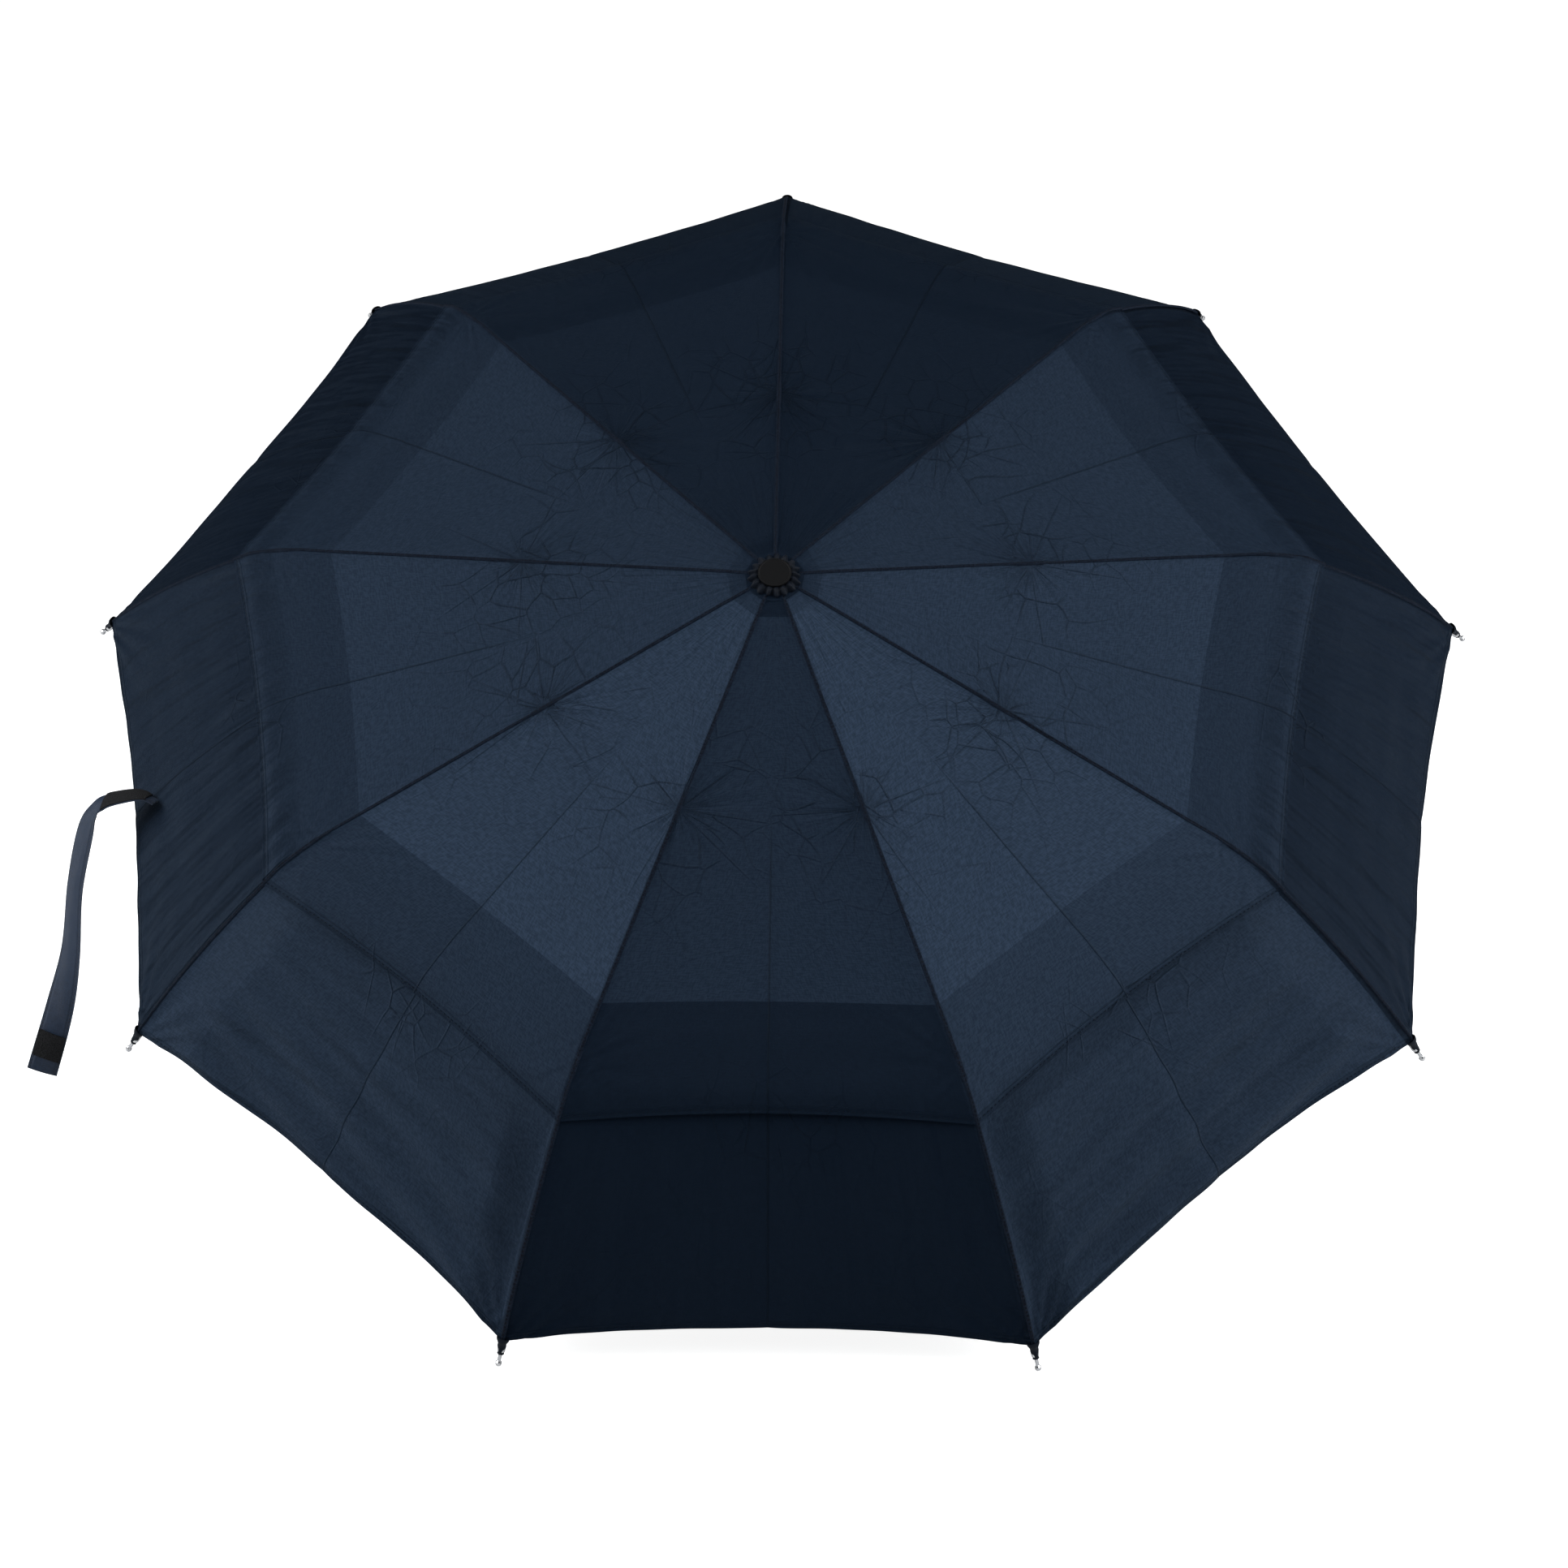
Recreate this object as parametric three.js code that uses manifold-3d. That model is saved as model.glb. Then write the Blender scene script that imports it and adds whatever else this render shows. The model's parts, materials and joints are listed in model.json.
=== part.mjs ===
// Folding umbrella with nine ribs, each in three folding sections, a vented double canopy and a shaft of
// three telescoping tubes. Millimetres, degrees where a name says so. The umbrella is drawn on its shaft:
// local Z runs up the shaft, z = 0 is the plane of the rib hinges in the crown. At the end it is laid down
// as it rests when open: on two rib tips and on the edge of the handle's end, with its canopy facing -Y.
import * as THREE from "three";
import { mergeVertices } from "three/addons/utils/BufferGeometryUtils.js";
import Module from "manifold-3d";

const wasm = await Module();
wasm.setup();

// ---- Driving dimensions ----

const ribCount = 9;
const gap = 0.3; // between pieces that seat on or slide in each other
const jointGap = 0.4; // at each side of a rib joint
const roundSegments = 24;

const upperTube = { radius: 4.75, wall: 0.7, length: 184 };
const middleTube = { wall: 0.7, length: 175 };
const lowerTube = { wall: 0.7, exposed: 190, inHandle: 66 };
const tubeOverlap = 30; // of each tube in the next one when the shaft is extended

const crown = { hingeRadius: 10.5, hubWall: 1.55, hubLength: 13, flangeBottom: -5, top: 4.2, roof: 1.6, rim: 2.7 };
const cap = { radius: 11, thickness: 3, stemRadius: 3, lift: 7.5 };
const runner = {
  pivotRadius: 12,
  flange: 3,
  rim: 2.8,
  wall: 1.3,
  length: 26,
  gripLength: 12,
  gripRadius: 10.4,
};

const channel = { width: 5, height: 4.5, wall: 0.7 }; // folded steel section of the inner and middle ribs
const hingeLift = 2.6; // rib pivots stand off the ribs' centre lines by this, so that sections fold flat
const innerRib = { length: 161, droop: 9.7, eye: 1.8, tongue: 2, stretcherAt: 85, stretcherDrop: 0.8 };
const middleRib = { length: 176, droop: 9.6, tongue: 1.6, eye: 1.4, tailEye: 1.6 };
const outerRib = { rodLength: 188, rodRadius: 1.6, droop: 41.6, bow: 9.2, forkThickness: 0.8, socketLength: 20 };
const stretcher = { length: 100, thickness: 2.4, eye: 1.6 };
const ribTip = { ballRadius: 2.2, neckRadius: 1.2, socketDepth: 7, wall: 0.7, reach: 10 };

const cloth = { thickness: 0.5, layerGap: 1, riseAtRib: 6.1, riseAtTip: 3.6, columnsPerGore: 4 };
const upperCanopy = { holeRadius: 5.5, flatTo: 18, hemAt: 385, hemCurve: 5, rows: 6 }; // along the rib
const lowerCanopy = { edgeAt: 307, cornerBack: 7, hemCurve: 9, rows: 6 };
const ventRows = 6; // where the two layers lie over each other
const goreSag = 5; // of the middle of each gore, inwards from a straight line between its ribs

const handle = { length: 78, topRadius: 16.6, waistRadius: 13.6, bellyRadius: 15.6, footRadius: 14.6, cup: 5 };
const endCap = { thickness: 4, fillet: 3.5, stemRadius: 5.5, stemLength: 6 };
const button = { width: 7.8, height: 13.8, depth: 5, proud: 2.6, travel: 2.2, fromTop: 24, pocketSide: 0.4 };

const spring = { wireRadius: 0.6, turns: 9, innerGap: 0.55 };
const strap = {
  width: 21,
  thickness: 0.8,
  reach: 43.5, // of the sewn end, out to the bend
  back: 8,
  bendDrop: 8,
  gathered: 0.7, // the width left where it is sewn on
  hang: 194,
  lean: 51,
  padLength: 20,
  tab: 11,
};
const strapRoot = { goreAngle: -100, fromHem: 34, side: -0.07, standOff: 1.6 };
// Out and up from where it is sewn on, in shares of the reach.
const strapArch = [[0.16, 0.07], [0.35, 0.08], [0.6, 0.03], [0.82, -0.05], [0.955, -0.13]];
// Out and down from the bend, in shares of the lean and the hang, with the turn of its width.
const strapFall = [[0, 0, 22], [0.15, 0.08, 38], [0.35, 0.29, 42], [0.48, 0.54, 47], [0.69, 0.755, 75], [1, 1, 90]];

// ---- Sizes that follow ----

const degrees = Math.PI / 180;
const ribStep = 360 / ribCount;
middleTube.radius = upperTube.radius + gap + middleTube.wall;
lowerTube.radius = middleTube.radius + gap + lowerTube.wall;
crown.radius = crown.hingeRadius + crown.rim;
crown.boreRadius = upperTube.radius + gap;
crown.slotWidth = innerRib.tongue + 2 * jointGap;
crown.slotInner = crown.hingeRadius - innerRib.eye - jointGap;
runner.boreRadius = lowerTube.radius + gap + 0.05;
runner.bodyRadius = runner.boreRadius + runner.wall;
runner.radius = runner.pivotRadius + runner.rim;
runner.slotWidth = stretcher.thickness + 2 * gap;
outerRib.forkGap = middleRib.tongue / 2 + gap;
outerRib.forkWidth = 2 * (outerRib.forkGap + outerRib.forkThickness);

const upperTubeTop = crown.top - crown.roof - gap - 1.6;
const upperTubeBottom = upperTubeTop - upperTube.length;
const middleTubeTop = upperTubeBottom + tubeOverlap;
const middleTubeBottom = middleTubeTop - middleTube.length;
const lowerTubeTop = middleTubeBottom + tubeOverlap;
const handleTop = lowerTubeTop - lowerTube.exposed;
const handleBottom = handleTop - handle.length;

// A point given along (x) and above (z) a rib section that droops by an angle, seen in the plane of the rib.
function drooped(x, z, angle) {
  const c = Math.cos(angle * degrees);
  const s = Math.sin(angle * degrees);
  return new THREE.Vector2(x * c + z * s, z * c - x * s);
}

const crownHinge = new THREE.Vector2(crown.hingeRadius, 0);
const firstKnee = drooped(innerRib.length, hingeLift, innerRib.droop).add(crownHinge);
const secondKnee = drooped(middleRib.length, -2 * hingeLift, middleRib.droop).add(firstKnee);
const rodEnd = drooped(outerRib.rodLength, hingeLift, outerRib.droop).add(secondKnee);
const tipBall = drooped(ribTip.reach, 0, outerRib.droop + outerRib.bow).add(rodEnd);
const stretcherTop = drooped(innerRib.stretcherAt, -innerRib.stretcherDrop, innerRib.droop).add(crownHinge);
const stretcherRun = stretcherTop.x - runner.pivotRadius;
const stretcherFall = Math.sqrt(stretcher.length ** 2 - stretcherRun ** 2);
const runnerHeight = stretcherTop.y - stretcherFall;
const stretcherDroop = 180 - Math.atan2(stretcherFall, stretcherRun) / degrees;

// ---- Shape helpers ----

function solidOf(geometry) {
  const bare = geometry.clone();
  bare.deleteAttribute("normal");
  bare.deleteAttribute("uv");
  const merged = mergeVertices(bare, 1e-4);
  return new wasm.Manifold(
    new wasm.Mesh({
      numProp: 3,
      vertProperties: new Float32Array(merged.attributes.position.array),
      triVerts: new Uint32Array(merged.index.array),
    }),
  );
}

function geometryOf(solid) {
  const { vertProperties, triVerts } = solid.getMesh();
  const geometry = new THREE.BufferGeometry();
  geometry.setAttribute("position", new THREE.BufferAttribute(vertProperties, 3));
  geometry.setIndex(new THREE.BufferAttribute(triVerts, 1));
  return geometry;
}

function joined(...pieces) {
  return geometryOf(pieces.map(solidOf).reduce((all, one) => all.add(one)));
}

function cut(body, ...tools) {
  return geometryOf(tools.map(solidOf).reduce((left, tool) => left.subtract(tool), solidOf(body)));
}

// A solid turned round the shaft from an outline of [radius, height] points that closes on itself.
function turned(outline, segments = roundSegments) {
  const points = outline.map(([r, z]) => new THREE.Vector2(r, z));
  const area = THREE.ShapeUtils.area(points);
  if (area < 0) {
    points.reverse();
  }
  const closed = points[0].x === 0 && points.at(-1).x === 0 ? points : [...points, points[0].clone()];
  return new THREE.LatheGeometry(closed, segments).rotateX(Math.PI / 2);
}

// An outline in the plane of a rib (x along it, z above it), given its thickness across the rib.
function plate(shape, thickness, across = 0) {
  const solid = new THREE.ExtrudeGeometry(shape, { depth: thickness, bevelEnabled: false, curveSegments: 3 });
  return solid.translate(0, 0, -thickness / 2 - across).rotateX(Math.PI / 2);
}

function box(x0, x1, z0, z1, width, across = 0) {
  const shape = new THREE.Shape();
  shape.moveTo(x0, z0);
  shape.lineTo(x1, z0);
  shape.lineTo(x1, z1);
  shape.lineTo(x0, z1);
  return plate(shape, width, across);
}

// A flat link with a round end of its own size at each of two points.
function link(from, fromRadius, to, toRadius, thickness, across = 0) {
  const [x0, z0] = from;
  const [x1, z1] = to;
  const along = Math.atan2(z1 - z0, x1 - x0);
  const lean = Math.acos((fromRadius - toRadius) / Math.hypot(x1 - x0, z1 - z0));
  const shape = new THREE.Shape();
  shape.absarc(x0, z0, fromRadius, along + lean, along - lean + 2 * Math.PI, false);
  shape.absarc(x1, z1, toRadius, along - lean, along + lean, false);
  return plate(shape, thickness, across);
}

// A rib section of folded steel, open underneath.
function channelBar(x0, x1, middle) {
  const low = middle - channel.height / 2;
  const high = middle + channel.height / 2;
  const side = (channel.width - channel.wall) / 2;
  return [
    box(x0, x1, high - channel.wall, high, channel.width),
    box(x0, x1, low, high, channel.wall, side),
    box(x0, x1, low, high, channel.wall, -side),
  ];
}

function tube(radius, wall, bottom, top) {
  return turned([
    [radius - wall, bottom],
    [radius, bottom],
    [radius, top],
    [radius - wall, top],
  ]);
}

// ---- Materials ----

function finish(color, roughness, metalness) {
  return new THREE.MeshStandardMaterial({ color, roughness, metalness });
}

const finishes = {
  canopyCloth: finish(0x16253a, 0.62, 0),
  strapCloth: finish(0x1a2b44, 0.7, 0),
  hookAndLoop: finish(0x0a0a0c, 0.95, 0),
  ribSteel: finish(0x2b2d31, 0.45, 0.8),
  ribRod: finish(0x15161a, 0.5, 0),
  tubeSteel: finish(0x3a3c40, 0.3, 0.9),
  brightSteel: finish(0xb9bcc0, 0.25, 1),
  blackPlastic: finish(0x111214, 0.5, 0),
  gripRubber: finish(0x17181a, 0.7, 0),
};

function named(name, geometry, material) {
  const mesh = new THREE.Mesh(geometry, material);
  mesh.name = name;
  return mesh;
}

// ---- Shaft ----

function makeShaft() {
  const shaft = new THREE.Group();
  const lowerTubeBottom = handleTop - lowerTube.inHandle;
  shaft.add(
    named("upper_tube", tube(upperTube.radius, upperTube.wall, upperTubeBottom, upperTubeTop), finishes.tubeSteel),
    named("middle_tube", tube(middleTube.radius, middleTube.wall, middleTubeBottom, middleTubeTop), finishes.tubeSteel),
    named("lower_tube", tube(lowerTube.radius, lowerTube.wall, lowerTubeBottom, lowerTubeTop), finishes.tubeSteel),
  );
  return shaft;
}

// Slots run outwards from slotInner at every rib, between two heights.
function radialSlots(slotInner, slotOuter, width, bottom, top) {
  const slots = [];
  for (let i = 0; i < ribCount; i += 1) {
    slots.push(box(slotInner, slotOuter, bottom, top, width).rotateZ((90 - i * ribStep) * degrees));
  }
  return slots;
}

function makeCrown() {
  const hubRadius = crown.boreRadius + crown.hubWall;
  const stemHole = cap.stemRadius + gap;
  const chamfer = 0.8;
  const body = turned(
    [
      [crown.boreRadius, -crown.hubLength],
      [hubRadius, -crown.hubLength],
      [hubRadius, crown.flangeBottom],
      [crown.radius, crown.flangeBottom],
      [crown.radius, crown.top - chamfer],
      [crown.radius - chamfer, crown.top],
      [stemHole, crown.top],
      [stemHole, upperTubeTop + gap],
      [crown.boreRadius, upperTubeTop + gap],
    ],
    36,
  );
  const slotTop = crown.top - crown.roof;
  const slots = radialSlots(crown.slotInner, crown.radius + 1, crown.slotWidth, crown.flangeBottom - 1, slotTop);
  return named("crown", cut(body, ...slots), finishes.blackPlastic);
}

function makeTopCap() {
  const edge = 0.7;
  const stemBottom = upperTubeTop + gap + 0.4;
  const body = turned([
    [0, stemBottom],
    [cap.stemRadius, stemBottom],
    [cap.stemRadius, cap.lift],
    [cap.radius - edge, cap.lift],
    [cap.radius, cap.lift + edge],
    [cap.radius, cap.lift + cap.thickness - edge],
    [cap.radius - edge, cap.lift + cap.thickness],
    [0, cap.lift + cap.thickness],
  ]);
  return named("top_cap", body, finishes.blackPlastic);
}

function makeRunner() {
  const top = runner.flange;
  const bottom = top - runner.length;
  const gripTop = bottom + runner.gripLength;
  const body = turned(
    [
      [runner.boreRadius, bottom],
      [runner.gripRadius, bottom],
      [runner.gripRadius, gripTop - 2],
      [runner.bodyRadius, gripTop],
      [runner.bodyRadius, -runner.flange],
      [runner.radius, -runner.flange],
      [runner.radius, top],
      [runner.boreRadius, top],
    ],
    36,
  );
  const slotInner = runner.pivotRadius - stretcher.eye - jointGap;
  const slots = radialSlots(slotInner, runner.radius + 1, runner.slotWidth, -runner.flange - 1, top + 1);
  const mesh = named("runner", cut(body, ...slots), finishes.blackPlastic);
  mesh.position.z = runnerHeight;
  return mesh;
}

// The spring round the upper tube, which pushes the runner down from the crown.
function makeClosingSpring() {
  const top = crown.flangeBottom - gap - spring.wireRadius;
  const bottom = runnerHeight + runner.flange + gap + spring.wireRadius;
  const radius = lowerTube.radius + spring.innerGap + spring.wireRadius;
  const pitch = (top - bottom) / spring.turns;
  class Helix extends THREE.Curve {
    getPoint(t, target = new THREE.Vector3()) {
      const turn = 2 * Math.PI * spring.turns * t;
      return target.set(radius * Math.cos(turn), radius * Math.sin(turn), bottom + pitch * spring.turns * t);
    }
  }
  const section = new THREE.Shape();
  section.absarc(0, 0, spring.wireRadius, 0, 2 * Math.PI, false);
  const wire = new THREE.ExtrudeGeometry(section, {
    steps: spring.turns * 10,
    extrudePath: new Helix(),
    bevelEnabled: false,
    curveSegments: 3,
  });
  return named("closing_spring", wire, finishes.brightSteel);
}

// ---- Handle ----

// A rounded rectangle standing up on the side of the handle that faces local +Y, between two depths.
function sideBlock(width, height, corner, inner, outer, bevel) {
  const w = width / 2 - bevel;
  const h = height / 2 - bevel;
  const shape = new THREE.Shape();
  shape.moveTo(-w + corner, -h);
  shape.lineTo(w - corner, -h);
  shape.absarc(w - corner, -h + corner, corner, -Math.PI / 2, 0, false);
  shape.lineTo(w, h - corner);
  shape.absarc(w - corner, h - corner, corner, 0, Math.PI / 2, false);
  shape.lineTo(-w + corner, h);
  shape.absarc(-w + corner, h - corner, corner, Math.PI / 2, Math.PI, false);
  shape.lineTo(-w, -h + corner);
  shape.absarc(-w + corner, -h + corner, corner, Math.PI, 1.5 * Math.PI, false);
  const solid = new THREE.ExtrudeGeometry(shape, {
    depth: outer - inner - 2 * bevel,
    bevelEnabled: bevel > 0,
    bevelThickness: bevel,
    bevelSize: bevel,
    bevelSegments: 2,
    curveSegments: 3,
  });
  return solid.rotateX(-Math.PI / 2).translate(0, inner + bevel, 0);
}

function makeHandle() {
  const bore = lowerTube.radius + gap;
  const base = handleBottom + endCap.thickness + gap;
  const stemBore = endCap.stemRadius + gap;
  const stemTop = handleTop - lowerTube.inHandle - 1;
  const at = (share) => base + share * (handleTop - base);
  const body = turned(
    [
      [stemBore, base],
      [handle.footRadius, base],
      [handle.bellyRadius, at(0.22)],
      [handle.bellyRadius, at(0.42)],
      [handle.waistRadius + 0.5, at(0.62)],
      [handle.waistRadius, at(0.76)],
      [handle.topRadius - 0.8, at(0.93)],
      [handle.topRadius, at(0.96)],
      [handle.topRadius, handleTop - 1],
      [handle.topRadius - 1, handleTop],
      [handle.topRadius - 2.6, handleTop],
      [handle.topRadius - 3.2, handleTop - handle.cup],
      [bore, handleTop - handle.cup],
      [bore, stemTop],
      [stemBore, stemTop],
    ],
    32,
  );
  const floor = buttonInner() - button.travel - jointGap;
  const pocket = sideBlock(
    button.width + 2 * button.pocketSide,
    button.height + 2 * button.pocketSide,
    2,
    floor,
    handle.topRadius + 4,
    0,
  ).translate(0, 0, handleTop - button.fromTop);
  return named("handle", cut(body, pocket), finishes.gripRubber);
}

function buttonInner() {
  return handle.waistRadius + button.proud - button.depth;
}

function makePushButton() {
  const outer = buttonInner() + button.depth;
  const body = sideBlock(button.width, button.height, 1.4, buttonInner(), outer, 0.6);
  const mesh = named("push_button", body, finishes.blackPlastic);
  mesh.position.z = handleTop - button.fromTop;
  return mesh;
}

function makeHandleEndCap() {
  const outline = [[0, handleBottom]];
  for (let i = 0; i <= 4; i += 1) {
    const turn = (i / 4) * 90 * degrees;
    outline.push([
      handle.footRadius - endCap.fillet * (1 - Math.sin(turn)),
      handleBottom + endCap.fillet * (1 - Math.cos(turn)),
    ]);
  }
  const top = handleBottom + endCap.thickness;
  outline.push([handle.footRadius, top], [endCap.stemRadius, top]);
  outline.push([endCap.stemRadius, top + endCap.stemLength], [0, top + endCap.stemLength]);
  return named("handle_end_cap", turned(outline, 36), finishes.blackPlastic);
}

// ---- Ribs ----
// Each section is drawn from its own pivot, with x along the section and z towards the canopy.

function innerRibShape() {
  const channelStart = 13;
  const channelEnd = innerRib.length - 10;
  const tongueRise = (channel.height - innerRib.tongue) / 2 - 0.8;
  const lapAt = channelEnd - 4;
  const lapHeight = channel.height / 2 - channel.wall / 2;
  return joined(
    link([0, 0], innerRib.eye, [channelStart + 4, tongueRise], innerRib.eye, innerRib.tongue),
    ...channelBar(channelStart, channelEnd, 0),
    link(
      [lapAt, lapHeight],
      channel.wall / 2,
      [innerRib.length, hingeLift],
      middleRib.eye,
      middleRib.tongue,
    ),
  );
}

function middleRibShape() {
  const forkSide = (channel.width - channel.wall) / 2;
  const channelStart = 10;
  const channelEnd = middleRib.length - 12;
  const tailStart = [channelEnd - 5, -hingeLift + channel.height / 2 - 1.1];
  return joined(
    link([0, 0], middleRib.eye, [channelStart + 3, -hingeLift], middleRib.eye, channel.wall, forkSide),
    link([0, 0], middleRib.eye, [channelStart + 3, -hingeLift], middleRib.eye, channel.wall, -forkSide),
    ...channelBar(channelStart, channelEnd, -hingeLift),
    link(tailStart, 1, [middleRib.length, -2 * hingeLift], middleRib.tailEye, middleRib.tongue),
  );
}

function outerRibShape() {
  const start = new THREE.Vector3(0, 0, hingeLift);
  const end = new THREE.Vector3(outerRib.rodLength, 0, hingeLift);
  const rise = (outerRib.rodLength / 2) * Math.tan(outerRib.bow * degrees);
  const crest = new THREE.Vector3(outerRib.rodLength / 2, 0, hingeLift + rise);
  const whole = new THREE.QuadraticBezierCurve3(start, crest, end);
  const rodStart = 12 / outerRib.rodLength;
  class Rod extends THREE.Curve {
    getPoint(t, target = new THREE.Vector3()) {
      return whole.getPoint(rodStart + (1 - rodStart) * t, target);
    }
  }
  const section = new THREE.Shape();
  section.absarc(0, 0, outerRib.rodRadius, 0, 2 * Math.PI, false);
  const rod = new THREE.ExtrudeGeometry(section, {
    steps: 8,
    extrudePath: new Rod(),
    bevelEnabled: false,
    curveSegments: 4,
  });
  const blockStart = whole.getPoint(9 / outerRib.rodLength);
  const blockEnd = whole.getPoint(outerRib.socketLength / outerRib.rodLength);
  const half = outerRib.rodRadius + 0.2;
  const forkAt = outerRib.forkGap + outerRib.forkThickness / 2;
  const forkEnd = [blockStart.x + 2, blockStart.z];
  return joined(
    link([0, 0], middleRib.tailEye, forkEnd, middleRib.tailEye, outerRib.forkThickness, forkAt),
    link([0, 0], middleRib.tailEye, forkEnd, middleRib.tailEye, outerRib.forkThickness, -forkAt),
    link([blockStart.x, blockStart.z], half, [blockEnd.x, blockEnd.z], half, outerRib.forkWidth),
    rod,
  );
}

function stretcherShape() {
  return link([0, 0], stretcher.eye, [stretcher.length, 0], stretcher.eye, stretcher.thickness);
}

// Turned round its own length: an open socket over the rod's end, a neck and a ball.
function ribTipShape() {
  const bore = outerRib.rodRadius + gap;
  const outer = bore + ribTip.wall;
  const floor = gap;
  const mouth = floor - ribTip.socketDepth;
  const outline = [
    [0, floor],
    [bore, floor],
    [bore, mouth],
    [outer, mouth],
    [outer, floor + 0.6],
    [ribTip.neckRadius, floor + 2.2],
  ];
  const ballSteps = 4;
  const neckTurn = Math.asin(ribTip.neckRadius / ribTip.ballRadius);
  for (let i = 0; i < ballSteps; i += 1) {
    const turn = neckTurn + ((Math.PI - neckTurn) * i) / ballSteps;
    outline.push([ribTip.ballRadius * Math.sin(turn), ribTip.reach - ribTip.ballRadius * Math.cos(turn)]);
  }
  outline.push([0, ribTip.reach + ribTip.ballRadius]);
  return turned(outline, 8).rotateY(Math.PI / 2);
}

const ribShapes = {
  inner: innerRibShape(),
  middle: middleRibShape(),
  outer: outerRibShape(),
  stretcher: stretcherShape(),
  tip: ribTipShape(),
};

// A pivot is a group whose own turn about its y axis is the droop added at that joint.
function pivot(x, z, droop) {
  const group = new THREE.Group();
  group.position.set(x, 0, z);
  group.rotation.y = droop * degrees;
  return group;
}

function makeRib(number) {
  const rib = new THREE.Group();
  rib.rotation.z = (90 - (number - 1) * ribStep) * degrees;

  const atCrown = pivot(crown.hingeRadius, 0, innerRib.droop);
  const atStretcher = pivot(innerRib.stretcherAt, -innerRib.stretcherDrop, stretcherDroop - innerRib.droop);
  const atFirstKnee = pivot(innerRib.length, hingeLift, middleRib.droop - innerRib.droop);
  const atSecondKnee = pivot(middleRib.length, -2 * hingeLift, outerRib.droop - middleRib.droop);
  const atRodEnd = pivot(outerRib.rodLength, hingeLift, outerRib.bow);

  atRodEnd.add(named(`rib_tip_${number}`, ribShapes.tip, finishes.brightSteel));
  atSecondKnee.add(named(`outer_rib_${number}`, ribShapes.outer, finishes.ribRod), atRodEnd);
  atFirstKnee.add(named(`middle_rib_${number}`, ribShapes.middle, finishes.ribSteel), atSecondKnee);
  atStretcher.add(named(`stretcher_${number}`, ribShapes.stretcher, finishes.ribSteel));
  atCrown.add(named(`inner_rib_${number}`, ribShapes.inner, finishes.ribSteel), atStretcher, atFirstKnee);
  rib.add(atCrown);
  return rib;
}

// ---- Canopy ----

// The line that the cloth's outer face follows over a rib, as [distance out, height] from the shaft to the tip.
function clothLine() {
  const rise = (share) => cloth.riseAtRib + (cloth.riseAtTip - cloth.riseAtRib) * share;
  const points = [new THREE.Vector2(upperCanopy.holeRadius, crown.top + gap + cloth.thickness + 0.1)];
  for (const along of [6, 60, 110, innerRib.length]) {
    points.push(drooped(along, cloth.riseAtRib, innerRib.droop).add(crownHinge));
  }
  for (const along of [50, 100, 140, middleRib.length - 16]) {
    points.push(drooped(along, cloth.riseAtRib - hingeLift, middleRib.droop).add(firstKnee));
  }
  for (const share of [0.06, 0.15, 0.3, 0.5, 0.7, 0.85, 1]) {
    const bulge = 2 * share * (1 - share) * (outerRib.rodLength / 2) * Math.tan(outerRib.bow * degrees);
    const out = outerRib.rodLength * share + rise(share) * Math.sin(outerRib.bow * (2 * share - 1) * degrees);
    points.push(drooped(out, hingeLift + bulge + rise(share), outerRib.droop).add(secondKnee));
  }
  return new THREE.SplineCurve(points);
}

const clothOverRib = clothLine();
clothOverRib.arcLengthDivisions = 600;
const clothLength = clothOverRib.getLength();

// A point of the cloth: along is its distance down the rib from the shaft, side runs from -1 at one rib
// to 1 at the next, back is how far the gore's middle stops short, and depth is under the outer face.
function clothPoint(goreAngle, along, side, back, depth) {
  const middle = 1 - side * side;
  const reach = Math.min((along - upperCanopy.holeRadius - back * middle) / clothLength, 1);
  const place = clothOverRib.getPointAt(Math.max(reach, 0));
  const slope = clothOverRib.getTangentAt(Math.min(Math.max(reach, 0.001), 0.999));
  const out = place.x + slope.y * depth;
  const sag = goreSag * middle * Math.sin(Math.min(out / tipBall.x, 1) * Math.PI * 0.75);
  const half = (ribStep / 2) * degrees;
  const straight = new THREE.Vector3(side * out * Math.sin(half), out * Math.cos(half), 0);
  const inwards = sag * -slope.y;
  straight.y -= inwards;
  straight.z = place.y - slope.x * depth - sag * slope.x * 0.6;
  return straight.applyAxisAngle(new THREE.Vector3(0, 0, 1), -goreAngle * degrees);
}

// Distances down the ribs for rows of points, from one distance up to another, which is left out.
function clothRows(from, to, count) {
  return Array.from({ length: count }, (_, row) => from + ((to - from) * row) / count);
}

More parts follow.
